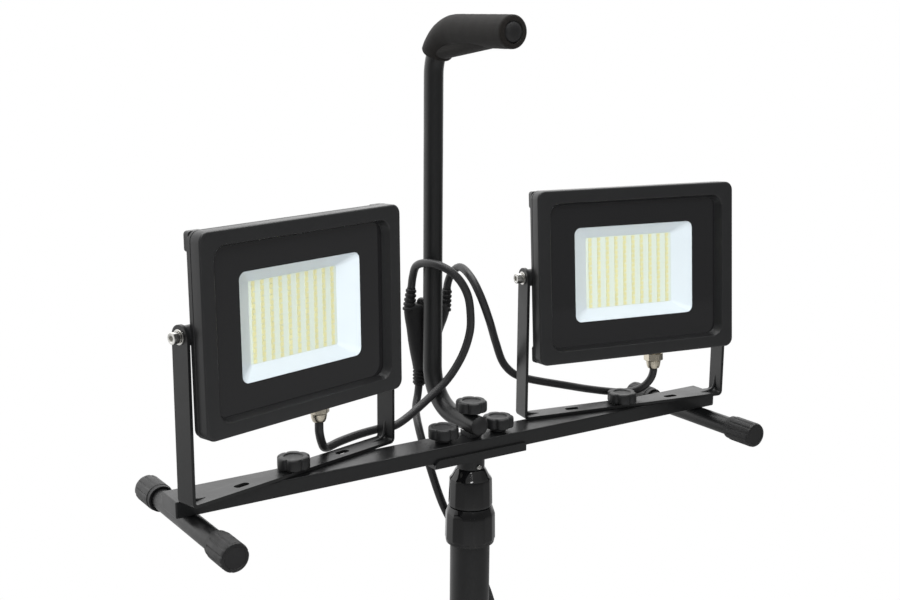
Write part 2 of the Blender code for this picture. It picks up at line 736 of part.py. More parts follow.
# ---------------------------------------------------------------- cords
def smooth(route, spacing):
    """Evenly spaced points of a curve through the route, with its two end spans left straight."""
    ends = [2 * route[0] - route[1]] + route + [2 * route[-1] - route[-2]]
    fine = []
    for a, b, c, d in zip(ends, ends[1:], ends[2:], ends[3:]):
        s = (c - b).length ** 0.5
        before, after = (b - a).length ** 0.5, (d - c).length ** 0.5
        m = (c - b) + s * ((b - a) / before - (c - a) / (before + s))
        n = (c - b) + s * ((d - c) / after - (d - b) / (after + s))
        for i in range(24):
            t = i / 24
            p = b * (2 * t**3 - 3 * t**2 + 1) + c * (3 * t**2 - 2 * t**3)
            fine.append(p + m * (t**3 - 2 * t**2 + t) + n * (t**3 - t**2))
    fine = fine[24:-24] + [route[-2]]
    lengths = [0.0]
    for a, b in zip(fine, fine[1:]):
        lengths.append(lengths[-1] + (b - a).length)
    count = max(2, round(lengths[-1] / spacing))
    points, k = [route[0]], 0
    for i in range(count + 1):
        want = lengths[-1] * i / count
        while k < len(fine) - 2 and lengths[k + 1] < want:
            k += 1
        span = lengths[k + 1] - lengths[k]
        points.append(fine[k].lerp(fine[k + 1], (want - lengths[k]) / span if span else 0.0))
    return points + [route[-1]]


def cord(name, route, spacing=0.019):
    """A round cord through its route, as one closed body."""
    curve = poly_curve(name, smooth([Vector(p) for p in route], spacing))
    curve.dimensions = "3D"
    curve.bevel_depth, curve.bevel_resolution = CORD_R, 2
    curve.use_fill_caps = True
    obj = bpy.data.objects.new(name, curve)
    work_light.objects.link(obj)
    return finish(obj, "rubber")


def from_mast(*points):
    """Points measured from the mast's axis at the bar's underside, in millimetres."""
    return [Vector(p) * MM + Vector((0, MAST_Y, BAR_Z)) for p in points]


splitter_at = HEAD @ Matrix.Translation(SPLITTER) @ Matrix.Rotation(SPLITTER_LEAN, 4, "Y")


def oval(half_x, half_y, z, x=0.0, sides=16):
    return [Vector((p.x * half_x + x, p.y * half_y, z)) for p in circle(1.0, 0.0, sides)]


splitter = loft(
    "cable_splitter",
    [
        oval(6.0 * MM, 6.0 * MM, -0.0530),
        oval(7.6 * MM, 7.6 * MM, -0.0515),
        oval(7.6 * MM, 7.6 * MM, -0.0370),
        oval(13.5 * MM, 10.5 * MM, -0.0200),
        oval(21.0 * MM, 11.5 * MM, 0.0050),
        oval(26.0 * MM, 11.5 * MM, 0.0210),
        oval(26.5 * MM, 11.0 * MM, 0.0275),
        oval(22.0 * MM, 8.0 * MM, 0.0310),
    ],
    "black_plastic",
    splitter_at,
)
FORK_X, FORK_TOP = 0.0215, 0.0470
forks = [splitter_at @ shift(x=side * FORK_X) for side in (-1, 1)]
for index, at in enumerate(forks):
    boolean(splitter, drum(f"fork_{index}", 6.2 * MM, 0.020, FORK_TOP, at=at), how="UNION")
for index, at in enumerate(forks):
    mouth = drum(f"fork_mouth_{index}", 4.6 * MM, FORK_TOP - 0.008, FORK_TOP + 0.001, at=at)
    boolean(splitter, mouth)
boolean(splitter, drum("tail_mouth", 4.6 * MM, -0.054, -0.044, at=splitter_at))


def gland_exit(side, depth):
    lamp = HEAD @ shift(side * LAMP_X, 0, PIVOT_Z - BAR_Z) @ turn_about("Z", TOE[side])
    lamp = lamp @ turn_about("X", -TILT[side])
    return lamp @ Vector((GLAND_X, GLAND_Y, depth))


def fork_point(side, z):
    return splitter_at @ Vector((side * FORK_X, 0, z))


cord(
    "lead_left",
    [gland_exit(-1, -0.1000), gland_exit(-1, -0.1080), gland_exit(-1, -0.1160)]
    + from_mast(
        (-153, 18, 30),
        (-144, 27.5, 21),
        (-125, 35, 21.5),
        (-102, 41, 22.5),
        (-77, 46, 22.5),
        (-55, 48, 22.5),
        (-10.9, 48.8, 47.5),
        (4.9, 46.6, 61.5),
        (18.6, 43.1, 83.6),
        (23.1, 37.4, 107.6),
        (20.4, 32.6, 126.3),
        (13.3, 27.8, 147.7),
        (4.4, 29.4, 163.4),
        (-3.7, 36.3, 172.5),
        (-11.7, 50.9, 177.1),
        (-13.9, 76.5, 171.5),
        (-10.2, 90.3, 157.4),
    )
    + [fork_point(-1, FORK_TOP + z) for z in (0.0035, 0.0015, -0.0070)],
)
cord(
    "lead_right",
    [fork_point(1, FORK_TOP + z) for z in (-0.0070, 0.0015, 0.0035)]
    + from_mast(
        (33.9, 87.5, 156.3),
        (32.3, 69.5, 166.3),
        (28, 42.6, 160),
        (30, 30, 144.6),
        (39.5, 28.3, 120.2),
        (56.2, 40.2, 93.2),
        (69.5, 45.3, 68.5),
        (79.3, 45, 57.4),
        (88.5, 43.8, 51.4),
        (101.4, 41.1, 46.7),
        (141, 31, 36.5),
        (170.2, 31.4, 28.2),
        (192.2, 25, 23.8),
        (206.4, 14.1, 23.3),
        (217.8, 0.1, 29.9),
        (223.2, -7.5, 40.7),
    )
    + [gland_exit(1, -0.1095), gland_exit(1, -0.1070), gland_exit(1, -0.1000)],
)
coil_x, coil_y = COIL_XY
cord(
    "main_cord",
    [splitter_at @ Vector((0, 0, z)) for z in (-0.046, -0.054, -0.062)]
    + from_mast(
        (-9, 86, 22),
        (-18.5, 64, 6),
        (-17.5, 46, -27),
        (-4, 41, -70),
        (20, 39, -115),
        (47, 36, -170),
        (61, 40, -215),
        (64, 50, -265),
        (55, 64, -330),
        (34, 82, -420),
        (14, 100, -520),
        (4, 118, -640),
        (11, 138, -735),
        (19, 162, -783),
        (25, 190, -794.5),
        (27, 215, -795.7),
    )
    + [Vector((coil_x + 0.0572, coil_y + step, CORD_R + GAP)) for step in (-0.010, 0.008)],
    spacing=0.027,
)
turned(
    "cord_coil",
    [
        (COIL_MAJOR - 0.0085, GAP + 0.0025),
        (COIL_MAJOR - 0.0060, GAP),
        (COIL_MAJOR + 0.0060, GAP),
        (COIL_MAJOR + 0.0085, GAP + 0.0025),
        (COIL_MAJOR + 0.0085, 0.0215),
        (COIL_MAJOR + 0.0060, 0.0240),
        (COIL_MAJOR - 0.0060, 0.0240),
        (COIL_MAJOR - 0.0085, 0.0215),
    ],
    "rubber",
    shift(coil_x, coil_y),
    sides=24,
    closed=True,
)
plug_at = shift(coil_x - 0.0703, coil_y - 0.0282, 0.0168) @ turn_about("Z", -20) @ turn_about("X", 90)
mains = loft(
    "mains_plug",
    [
        oval(5.5 * MM, 5.5 * MM, -0.0300),
        oval(7.0 * MM, 7.0 * MM, -0.0270),
        oval(7.0 * MM, 7.0 * MM, -0.0080),
        oval(15.0 * MM, 12.5 * MM, 0.0020),
        oval(17.0 * MM, 16.5 * MM, 0.0120),
        oval(17.0 * MM, 16.5 * MM, 0.0280),
    ],
    "black_plastic",
    plug_at,
)
for side in (-1, 1):
    at = plug_at @ shift(x=side * 9.5 * MM)
    boolean(mains, drum(f"plug_pin_{side}", 2.3 * MM, 0.0200, 0.0470, at=at, sides=12), how="UNION")
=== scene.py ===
"""Looks of the twin LED work light: fine surfaces, materials, cords, lights and camera.

Metres, +Z up, the lamps face -Y. Each piece is built about its own frame and rides on a CAD body.
"""
import json
from math import cos, pi, radians, sin, tan, tau

import bmesh
import bpy
from mathutils import Matrix, Vector

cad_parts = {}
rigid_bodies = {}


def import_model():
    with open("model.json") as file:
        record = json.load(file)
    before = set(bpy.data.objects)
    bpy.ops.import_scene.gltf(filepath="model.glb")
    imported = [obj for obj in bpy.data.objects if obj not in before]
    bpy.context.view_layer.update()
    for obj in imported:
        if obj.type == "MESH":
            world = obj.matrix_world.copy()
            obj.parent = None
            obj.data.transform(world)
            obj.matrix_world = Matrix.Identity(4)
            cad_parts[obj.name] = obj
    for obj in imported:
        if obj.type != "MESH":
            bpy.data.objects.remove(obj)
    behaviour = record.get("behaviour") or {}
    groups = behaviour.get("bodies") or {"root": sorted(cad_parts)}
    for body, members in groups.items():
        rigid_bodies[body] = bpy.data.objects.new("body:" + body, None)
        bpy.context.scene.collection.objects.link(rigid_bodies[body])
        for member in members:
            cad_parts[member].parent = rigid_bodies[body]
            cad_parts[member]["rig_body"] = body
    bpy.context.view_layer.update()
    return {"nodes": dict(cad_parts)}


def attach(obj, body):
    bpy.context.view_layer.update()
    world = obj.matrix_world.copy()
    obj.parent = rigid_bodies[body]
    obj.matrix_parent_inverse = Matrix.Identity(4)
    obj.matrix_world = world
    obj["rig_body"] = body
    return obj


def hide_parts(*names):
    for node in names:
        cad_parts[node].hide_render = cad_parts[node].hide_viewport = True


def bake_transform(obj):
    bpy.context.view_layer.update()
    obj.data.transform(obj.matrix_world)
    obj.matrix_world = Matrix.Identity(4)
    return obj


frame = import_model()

MM = 0.001
GAP = 0.0003  # clearance between neighbouring pieces
MAST_Y, BAR_Z = 0.0987, 0.8  # the mast's axis and the crossbar's underside
BAR_TOP = 0.0153  # where brackets and knobs stand, above the crossbar's underside
LAMP_X, PIVOT_Z = 0.191, 0.9592  # a bracket's stud and a lamp's pivot
TOE = {"left": 14.9, "right": -9.65}  # degrees that each lamp turns towards the middle
TILT = {"left": 1.0, "right": 5.0}  # degrees that each lamp tips at rest
SIDE = {"left": -1, "right": 1}
LEG_HEADINGS = {1: -90.0, 2: 30.0, 3: 150.0}
PIN_HOLE_R, STUD_HOLE_R = 0.0033, 0.0041


# ---- matrices
def mm(*rows):
    """A table of millimetres in metres."""
    return [tuple(v * MM for v in row) for row in rows]


def shift(x=0.0, y=0.0, z=0.0):
    return Matrix.Translation((x, y, z))


def turn(axis, degrees):
    return Matrix.Rotation(radians(degrees), 4, axis)


ALONG_Y = turn("X", -90)  # local +Z to +Y
ALONG_X = turn("Y", 90)  # local +Z to +X
MAST = shift(y=MAST_Y)
HEAD = shift(y=MAST_Y, z=BAR_Z)


def bracket_frame(word):
    return HEAD @ shift(SIDE[word] * LAMP_X, 0, BAR_TOP) @ turn("Z", TOE[word])


def lamp_frame(word):
    at = HEAD @ shift(SIDE[word] * LAMP_X, 0, PIVOT_Z - BAR_Z) @ turn("Z", TOE[word])
    return at @ turn("X", -TILT[word])


# ---- materials
def add_node(tree, kind, inputs=None, **settings):
    """A node whose inputs are numbers and colours, or outputs of other nodes to link."""
    made = tree.nodes.new(kind)
    for key, value in settings.items():
        setattr(made, key, value)
    for key, value in (inputs or {}).items():
        if isinstance(value, bpy.types.NodeSocket):
            tree.links.new(value, made.inputs[key])
        else:
            made.inputs[key].default_value = value
    return made


def limits(value, low, high, to_low, to_high):
    return {"Value": value, "From Min": low, "From Max": high, "To Min": to_low, "To Max": to_high}


def tint(color, factor):
    return [c * factor for c in color]


class Shader:
    """A Principled material with noise in its colour, roughness and bump."""

    def __init__(self, name, color, rough, metal=0.0, **inputs):
        self.material = bpy.data.materials.new(name)
        self.material.use_nodes = True
        self.material.diffuse_color = (*color, 1)
        self.tree = self.material.node_tree
        self.bsdf = self.tree.nodes["Principled BSDF"]
        self.bsdf.inputs["Base Color"].default_value = (*color, 1)
        self.bsdf.inputs["Roughness"].default_value = rough
        self.bsdf.inputs["Metallic"].default_value = metal
        for key, value in inputs.items():
            self.bsdf.inputs[key.replace("_", " ")].default_value = value
        self.rough, self.normal = rough, None
        self.coords = self.node("ShaderNodeTexCoord").outputs["Object"]

    def node(self, kind, inputs=None, **settings):
        return add_node(self.tree, kind, inputs, **settings)

    def feed(self, key, value):
        self.tree.links.new(value, self.bsdf.inputs[key])
        return self

    def surface(self, shader):
        self.tree.links.new(shader, self.tree.nodes["Material Output"].inputs["Surface"])
        return self

    def noise(self, scale, detail=3.0, roughness=0.55, stretch=None):
        place = self.coords
        if stretch is not None:
            mapping = self.node("ShaderNodeMapping", {"Scale": stretch, "Vector": place})
            place = mapping.outputs["Vector"]
        inputs = {"Scale": scale, "Detail": detail, "Roughness": roughness, "Vector": place}
        return self.node("ShaderNodeTexNoise", inputs).outputs["Fac"]

    def ramp(self, *values):
        return self.node("ShaderNodeMapRange", limits(*values)).outputs["Result"]

    def mottle(self, value, dark, light):
        """Base colour between two colours."""
        inputs = {0: value, 6: (*dark, 1), 7: (*light, 1)}
        mix = self.node("ShaderNodeMix", inputs, data_type="RGBA")
        return self.feed("Base Color", mix.outputs[2])

    def vary_roughness(self, value, spread):
        made = self.ramp(value, 0.3, 0.7, self.rough - spread, self.rough + spread)
        return self.feed("Roughness", made)

    def bump(self, value, depth):
        inputs = {"Distance": depth, "Height": value}
        if self.normal is not None:
            inputs["Normal"] = self.normal
        self.normal = self.node("ShaderNodeBump", inputs).outputs["Normal"]
        return self.feed("Normal", self.normal)


def powder_coat(name, color, rough, grain=1100.0):
    s = Shader(name, color, rough)
    s.mottle(s.noise(90, 4), tint(color, 0.86), tint(color, 1.14))
    s.vary_roughness(s.noise(35, 4), 0.05)
    return s.bump(s.noise(grain, 2.5, 0.6), 0.00006).bump(s.noise(260, 2), 0.00005)


def moulded(name, color, rough, grain=2600.0, depth=0.00003):
    s = Shader(name, color, rough)
    s.mottle(s.noise(55, 3), tint(color, 0.88), tint(color, 1.12))
    s.vary_roughness(s.noise(120, 3), 0.06)
    return s.bump(s.noise(grain, 2), depth)


def foam():
    """Black foam whose pores show brown."""
    s = Shader("foam", (0.0055, 0.005, 0.0046), 0.95, Specular_IOR_Level=0.25, Sheen_Weight=0.06)
    pores = s.node("ShaderNodeTexVoronoi", {"Scale": 1500, "Vector": s.coords}).outputs["Distance"]
    s.mottle(s.ramp(pores, 0.1, 0.55, 0, 1), (0.0014, 0.0012, 0.0012), (0.0092, 0.0082, 0.0074))
    return s.bump(pores, 0.00012).bump(s.noise(420, 4, 0.6), 0.00015)


def rubber(name, color, rough):
    s = Shader(name, color, rough)
    s.mottle(s.noise(70, 4), tint(color, 0.8), tint(color, 1.2))
    s.vary_roughness(s.noise(160, 3), 0.07)
    return s.bump(s.noise(1500, 3), 0.00004)


def metal(name, color, rough):
    s = Shader(name, color, rough, 1.0)
    s.mottle(s.noise(120, 3), tint(color, 0.9), color)
    s.vary_roughness(s.noise(500, 3, 0.6, (1, 1, 0.15)), 0.06)
    return s.bump(s.noise(1800, 2), 0.00002)


def reflector_white():
    s = Shader("reflector_white", (0.615, 0.655, 0.71), 0.34)
    s.mottle(s.noise(30, 3), (0.6, 0.64, 0.695), (0.63, 0.67, 0.725))
    return s.bump(s.noise(600, 2), 0.00003)


def solder_mask():
    """The pale face of the circuit board."""
    s = Shader("solder_mask", (0.59, 0.63, 0.57), 0.42)
    return s.mottle(s.noise(180, 3), (0.575, 0.615, 0.55), (0.605, 0.645, 0.59))


def window_glass():
    """Thin clear glass that lets the light behind it through and mirrors a little."""
    s = Shader("window_glass", (1, 1, 1), 0.02)
    clear = s.node("ShaderNodeBsdfTransparent", {"Color": (0.985, 0.995, 0.99, 1)})
    ripple = s.node("ShaderNodeBump", {"Distance": 0.00002, "Height": s.noise(24, 1)})
    gloss = s.node("ShaderNodeBsdfGlossy", {"Roughness": 0.015, "Normal": ripple.outputs["Normal"]})
    back = s.node("ShaderNodeNewGeometry").outputs["Backfacing"]
    outside = s.node("ShaderNodeMath", {0: 1.0, 1: back}, operation="SUBTRACT").outputs["Value"]
    mirror = s.node("ShaderNodeFresnel", {"IOR": 1.48}).outputs["Fac"]
    share = s.node("ShaderNodeMath", {0: mirror, 1: outside}, operation="MULTIPLY")
    mix = s.node("ShaderNodeMixShader", {
        "Fac": share.outputs["Value"], 1: clear.outputs["BSDF"], 2: gloss.outputs["BSDF"]})
    return s.surface(mix.outputs["Shader"])


def printed_black():
    """Glass with black print behind it."""
    s = Shader("printed_black", (0.0085, 0.0085, 0.009), 0.045)
    s.vary_roughness(s.noise(40, 2), 0.012)
    return s.bump(s.noise(20, 1), 0.00003)


def emitter():
    s = Shader("emitter", (0.97, 0.85, 0.15), 0.45)
    s.mottle(s.noise(900, 2), (0.95, 0.82, 0.12), (0.99, 0.88, 0.2))
    return s.bump(s.noise(2500, 2), 0.00004)


PAINT = powder_coat("black_powder_coat", (0.0048, 0.005, 0.0052), 0.34)
CASTING = powder_coat("black_casting", (0.0096, 0.0098, 0.0102), 0.33, 900.0)
KNOB = moulded("knob_plastic", (0.0062, 0.0064, 0.0067), 0.46)
CAP = moulded("cap_rubber", (0.006, 0.006, 0.0063), 0.5)
JACKET = moulded("splitter_rubber", (0.0026, 0.0026, 0.0029), 0.55)
GLOSS = moulded("gloss_black", (0.0022, 0.0022, 0.0024), 0.1, 500.0, 0.00001)
FOAM = foam()
CORD = rubber("cord_jacket", (0.0105, 0.0105, 0.011), 0.42)
FOOT = rubber("foot_rubber", (0.018, 0.018, 0.018), 0.62)
STEEL = metal("bright_steel", (0.74, 0.73, 0.7), 0.22)
NICKEL = metal("nickel_on_brass", (0.72, 0.66, 0.54), 0.24)
REFLECTOR = reflector_white()
BOARD = solder_mask()
CHIP = moulded("chip_body", (0.64, 0.6, 0.34), 0.45)
EMITTER = emitter()
TRACE = moulded("trace", (0.07, 0.065, 0.05), 0.5)
PRINT = printed_black()
WINDOW = window_glass()
SEAL = rubber("seal", (0.01, 0.01, 0.01), 0.5)
STRAP = rubber("strap", (0.016, 0.016, 0.017), 0.75)


# ---- building pieces
def add(name, mesh, shaders, body, *nodes, at=None, bevel=0.0, segments=2, angle=35.0):
    """Puts a mesh in the scene on its body, in place of its CAD nodes."""
    shaders = shaders if isinstance(shaders, list) else [shaders]
    if isinstance(mesh, bmesh.types.BMesh):
        bm, mesh = mesh, bpy.data.meshes.new(name)
        bm.to_mesh(mesh)
        bm.free()
    if at is not None:
        mesh.transform(at)
    mesh.shade_smooth()
    mesh.set_sharp_from_angle(angle=radians(angle))
    obj = bpy.data.objects.new(name, mesh)
    bpy.context.scene.collection.objects.link(obj)
    mesh.materials.clear()
    for shader in shaders:
        mesh.materials.append(shader.material)
    if bevel:
        modifier = obj.modifiers.new("Bevel", "BEVEL")
        modifier.width, modifier.segments = bevel, segments
        modifier.limit_method, modifier.angle_limit = "ANGLE", radians(angle)
        modifier.harden_normals = True
        weld = obj.modifiers.new("Weld", "WELD")
        weld.merge_threshold = 0.00002
    bpy.context.view_layer.update()
    if body:
        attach(obj, body)
    if nodes:
        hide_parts(*nodes)
    return obj


def body_of(node):
    return frame["nodes"][node]["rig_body"]


def loft(rings, closed=False):
    """Joins rings of equally many points. A ring of one point closes to a tip."""
    bm = bmesh.new()
    loops = [[bm.verts.new(p) for p in ring] for ring in rings]
    pairs = list(zip(loops, loops[1:])) + ([(loops[-1], loops[0])] if closed else [])
    for a, b in pairs:
        n = max(len(a), len(b))
        for i in range(n):
            j = (i + 1) % n
            if len(a) == 1:
                bm.faces.new((a[0], b[j], b[i]))
            elif len(b) == 1:
                bm.faces.new((a[i], a[j], b[0]))
            else:
                bm.faces.new((a[i], a[j], b[j], b[i]))
    if not closed:
        for loop in (loops[0], loops[-1]):
            if len(loop) > 2:
                bm.faces.new(loop)
    bmesh.ops.recalc_face_normals(bm, faces=bm.faces)
    return bm


def circle(radius, z, sides=48):
    angles = (tau * i / sides for i in range(sides))
    return [Vector((radius * cos(a), radius * sin(a), z)) for a in angles]


def oval(half_x, half_y, z, sides=56):
    return [Vector((p.x * half_x, p.y * half_y, z)) for p in circle(1.0, 0.0, sides)]


def quarter(count):
    """Angles over a quarter circle."""
    return [pi / 2 * i / count for i in range(count + 1)]


def tip(z):
    return [Vector((0, 0, z))]


def lathe(profile, sides=48, closed=False):
    return loft([circle(r, z, sides) if r > 0 else tip(z) for r, z in profile], closed)


def rod(radius, low, high, sides=48):
    return lathe([(0, low), (radius, low), (radius, high), (0, high)], sides)


def softened(profile, radius, closed=True):
    """Rounds the corners of a (radius, z) profile."""
    points, steps = [Vector(p) for p in profile], 3
    out = []
    for i, p in enumerate(points):
        if not closed and i in (0, len(points) - 1):
            out.append(p)
            continue
        a, b = points[i - 1] - p, points[(i + 1) % len(points)] - p
        r = min(radius, a.length * 0.45, b.length * 0.45)
        a, b = a.normalized() * r, b.normalized() * r
        for k in range(steps + 1):
            t = k / steps
            out.append(p + a * (1 - t) ** 2 + b * t**2)
    return [(max(p.x, 0.0), p.y) for p in out]


def tube_wall(radius, low, high, sides=64):
    bore = radius - 0.0015
    profile = [(radius, high), (radius, low), (bore, low), (bore, high)]
    return lathe(softened(profile, 0.0005), sides, closed=True)


def rounded(half_x, half_z, radius, y, steps=8):
    """A rounded rectangle in the XZ plane."""
    points = []
    for turns, (sx, sz) in enumerate(((1, 1), (-1, 1), (-1, -1), (1, -1))):
        for i in range(steps + 1):
            a = pi / 2 * (turns + i / steps)
            x = sx * (half_x - radius) + radius * cos(a)
            points.append(Vector((x, y, sz * (half_z - radius) + radius * sin(a))))
    return points


def framed(sections, closed=False, steps=8):
    return loft([rounded(*section, steps) for section in sections], closed)


def prism(outline, low, high, along):
    """A flat outline pushed along X, Y or Z."""
    def put(u, v, w):
        return Vector({"X": (w, u, v), "Y": (u, w, v), "Z": (u, v, w)}[along])
    return loft([[put(u, v, w) for u, v in outline] for w in (low, high)])


def block(low, high):
    bm = bmesh.new()
    low, high = Vector(low), Vector(high)
    sides = Matrix.Diagonal((*(high - low), 1.0))
    bmesh.ops.create_cube(bm, size=1.0, matrix=Matrix.Translation((low + high) / 2) @ sides)
    return bm


def moved(bm, at):
    bmesh.ops.transform(bm, matrix=at, verts=bm.verts)
    return bm


def joined(*parts):
    """Several bodies in one mesh."""
    out = bmesh.new()
    for bm in parts:
        mesh = bpy.data.meshes.new("part")
        bm.to_mesh(mesh)
        bm.free()
        out.from_mesh(mesh)
        bpy.data.meshes.remove(mesh)
    return out


def carved(base, cuts=(), unions=()):
    """The base with other bodies added to it and cut from it, as one mesh."""
    def temp(bm):
        mesh = bpy.data.meshes.new("temp")
        bm.to_mesh(mesh)
        bm.free()
        obj = bpy.data.objects.new("temp", mesh)
        bpy.context.scene.collection.objects.link(obj)
        return obj
    target = temp(base)
    tools = [(temp(bm), "UNION") for bm in unions] + [(temp(bm), "DIFFERENCE") for bm in cuts]
    for tool, how in tools:
        modifier = target.modifiers.new("cut", "BOOLEAN")
        modifier.object, modifier.operation, modifier.solver = tool, how, "EXACT"
    bpy.context.view_layer.update()
    depsgraph = bpy.context.evaluated_depsgraph_get()
    mesh = bpy.data.meshes.new_from_object(target.evaluated_get(depsgraph))
    for obj in [target] + [tool for tool, _ in tools]:
        old = obj.data
        bpy.data.objects.remove(obj)
        bpy.data.meshes.remove(old)
    return mesh


def sweep(points, radius, sides):
    """A round tube along points, with a frame that doesn't twist."""
    points = [Vector(p) for p in points]
    angles = [tau * k / sides for k in range(sides)]
    rings, side = [], None
    for i, p in enumerate(points):
        ahead = (points[min(i + 1, len(points) - 1)] - points[max(i - 1, 0)]).normalized()
        if side is None:
            side = ahead.orthogonal().normalized()
        side = (side - ahead * side.dot(ahead)).normalized()
        up = ahead.cross(side)
        rings.append([p + (side * cos(a) + up * sin(a)) * radius for a in angles])
    return loft(rings)


# ---- mast
OUTER_R, MIDDLE_R, INNER_R, MAST_FOOT = 0.0195, 0.0165, 0.0125, 0.25
for word, body, radius, low, high in (
    ("outer", "base", OUTER_R, MAST_FOOT, 0.74), ("middle", "middle_mast", MIDDLE_R, 0.29, 0.777),
    ("inner", "inner_mast", INNER_R, 0.33, 0.794),
):
    add(f"{word}_tube", tube_wall(radius, low, high), PAINT, body, f"mast_{word}_tube", at=MAST)


def faceted(sections):
    """A ring whose outer wall has flat facets with soft ridges. A section is (radius, z, facet)."""
    sides, bite, per = 14, 0.85, 10
    rings = []
    for radius, z, facet in sections:
        ring = circle(radius, z, sides * per)
        for i, p in enumerate(ring):
            a = (i / per + 0.5) % 1.0 - 0.5
            flat = cos(pi / sides) / cos(tau * a / sides)
            p.xy = p.xy * (1.0 + facet * bite * (flat - 1.0))
        rings.append(ring)
    return loft(rings, closed=True)


def twist_collar(word, tube_r, bore_r, step_z, wall):
    """A twist collar's sections down its outer wall and back up its stepped bore."""
    low, high = tube_r + GAP, bore_r + GAP
    wall = [(r * MM, z * MM, facet) for r, z, facet in wall]
    bore = [(low, wall[-1][1], 0), (low, step_z, 0), (high, step_z, 0), (high, wall[0][1], 0)]
    add(f"{word}_collar_shell", faceted(wall + bore), GLOSS, f"{word}_collar",
        f"{word}_twist_collar", at=MAST, angle=24)


twist_collar("lower", OUTER_R, MIDDLE_R, 0.7403, [
    (19, 745.1, 0), (20.2, 745, 0), (21.2, 744.6, 0), (21.7, 744, 0.2), (23.8, 738.5, 0.8),
    (24.2, 737, 1), (24.3, 735.5, 1), (24.7, 713, 1), (24.7, 711.8, 1), (24.3, 711.2, 0.6),
    (24.1, 710.8, 0.2), (24.1, 710.4, 0), (23.6, 707.8, 0), (23, 707.5, 0),
])
twist_collar("upper", MIDDLE_R, INNER_R, 0.7773, [
    (12.9, 783.4, 0), (13.3, 783.4, 0), (13.8, 782.9, 0), (15, 781.8, 0.1), (18.5, 775.2, 0.6),
    (20.5, 773.2, 0.9), (20.8, 772.2, 1), (20.9, 770.5, 1), (21.5, 748.5, 1), (21.5, 747, 1),
    (21.2, 745.9, 0.6), (20.8, 745.5, 0.2), (20.4, 745.4, 0),
])

# ---- tripod
bottom_plug = [
    (0, MAST_FOOT + 0.004), (0.0172, MAST_FOOT + 0.004), (0.0172, MAST_FOOT - GAP),
    (OUTER_R, MAST_FOOT - GAP), (OUTER_R, MAST_FOOT - 0.004),
    (OUTER_R - 0.0025, MAST_FOOT - 0.0058), (0, MAST_FOOT - 0.0058)]
add("bottom_plug", lathe(softened(bottom_plug, 0.0008, closed=False)), KNOB, "base",
    "mast_bottom_plug", at=MAST)

HUB_Z, HUB_REACH, LEG_R, LEG_TILT = 0.5, 0.04, 0.011, 35.0
LEG_LENGTH = HUB_Z / cos(radians(LEG_TILT))  # from the hinge to the floor
FOOT_REACH = HUB_Z * tan(radians(LEG_TILT))
UPRIGHT = turn("Y", LEG_TILT)  # from the vertical to a leg's own frame
hub_profile = softened(
    [(OUTER_R + GAP, 0.48), (0.0275, 0.48), (0.0275, 0.514), (0.05, 0.514), (0.051, 0.519),
     (0.029, 0.525), (0.026, 0.545), (OUTER_R + GAP, 0.545)], 0.0012)
nose = [(0.01 * cos(a), 0.01 * sin(a))
        for a in (radians(-70 + 10 * i) for i in range(8))]
ear = [(-0.0185, -0.015), (0.0002, -0.0128)] + nose + [(0.01, 0.0155), (-0.0185, 0.0155)]
ears, holes = [], []
for heading in LEG_HEADINGS.values():
    spoke = turn("Z", heading) @ shift(HUB_REACH, 0, HUB_Z)
    for side in (-1, 1):
        near, far = sorted((side * 0.007, side * 0.012))
        ears.append(moved(prism(ear, near, far, "Y"), spoke))
    holes.append(moved(rod(PIN_HOLE_R, -0.02, 0.02, 24), spoke @ ALONG_Y))
add("hub", carved(lathe(hub_profile, 64, closed=True), holes, ears), KNOB, "base", "leg_hub",
    at=MAST, bevel=0.0007)

for number, heading in LEG_HEADINGS.items():
    spoke = MAST @ turn("Z", heading) @ shift(HUB_REACH, 0, HUB_Z)
    leg = spoke @ turn("Y", -LEG_TILT)
    body, end = f"leg_{number}", -LEG_LENGTH
    shank = lathe(softened(
        [(0, -0.074), (0.0087, -0.074), (0.0092, -0.0353), (LEG_R + 0.001, -0.035),
         (LEG_R + 0.001, -0.0182), (0.0064, -0.0148), (0.0064, 0.0), (0, 0.0)],
        0.0008, closed=False), 32)
    eye = moved(rod(0.01, -0.0066, 0.0066), ALONG_Y)
    pin = moved(rod(0.003, -0.0126, 0.0126, 24), ALONG_Y)
    heel = moved(block((-0.002, -0.006, 0.002), (0.009, 0.006, 0.0135)), UPRIGHT)
    add(f"knuckle_{number}", carved(shank, (), (eye, heel)), KNOB, body,
        f"leg_knuckle_{number}", at=leg, bevel=0.0006)
    add(f"hinge_pin_{number}", pin, STEEL, body, at=leg, bevel=0.0005)
    add(f"leg_{number}_tube", tube_wall(LEG_R, end + 0.012, -0.0355, 48), PAINT, body,
        f"leg_tube_{number}", at=leg)
    boot = lathe(softened(
        [(0, end - 0.03), (0.0145, end - 0.03), (0.0145, end + 0.03), (0.013, end + 0.04),
         (LEG_R + GAP, end + 0.04), (LEG_R + GAP, end + 0.0117), (0, end + 0.0117)],
        0.0008, closed=False))
    near, far = FOOT_REACH - 0.08, FOOT_REACH + 0.08
    floor_cut = block((near, -0.05, -HUB_Z - 0.08), (far, 0.05, -HUB_Z))
    grooves = [
        lathe([(0.014, z), (0.016, z), (0.016, z + 0.0012), (0.014, z + 0.0012)], closed=True)
        for z in (end + 0.012, end + 0.018, end + 0.024)]
    add(f"boot_{number}", carved(boot, [moved(floor_cut, UPRIGHT)] + grooves), FOOT, body,
        f"leg_foot_{number}", at=leg, bevel=0.0004)

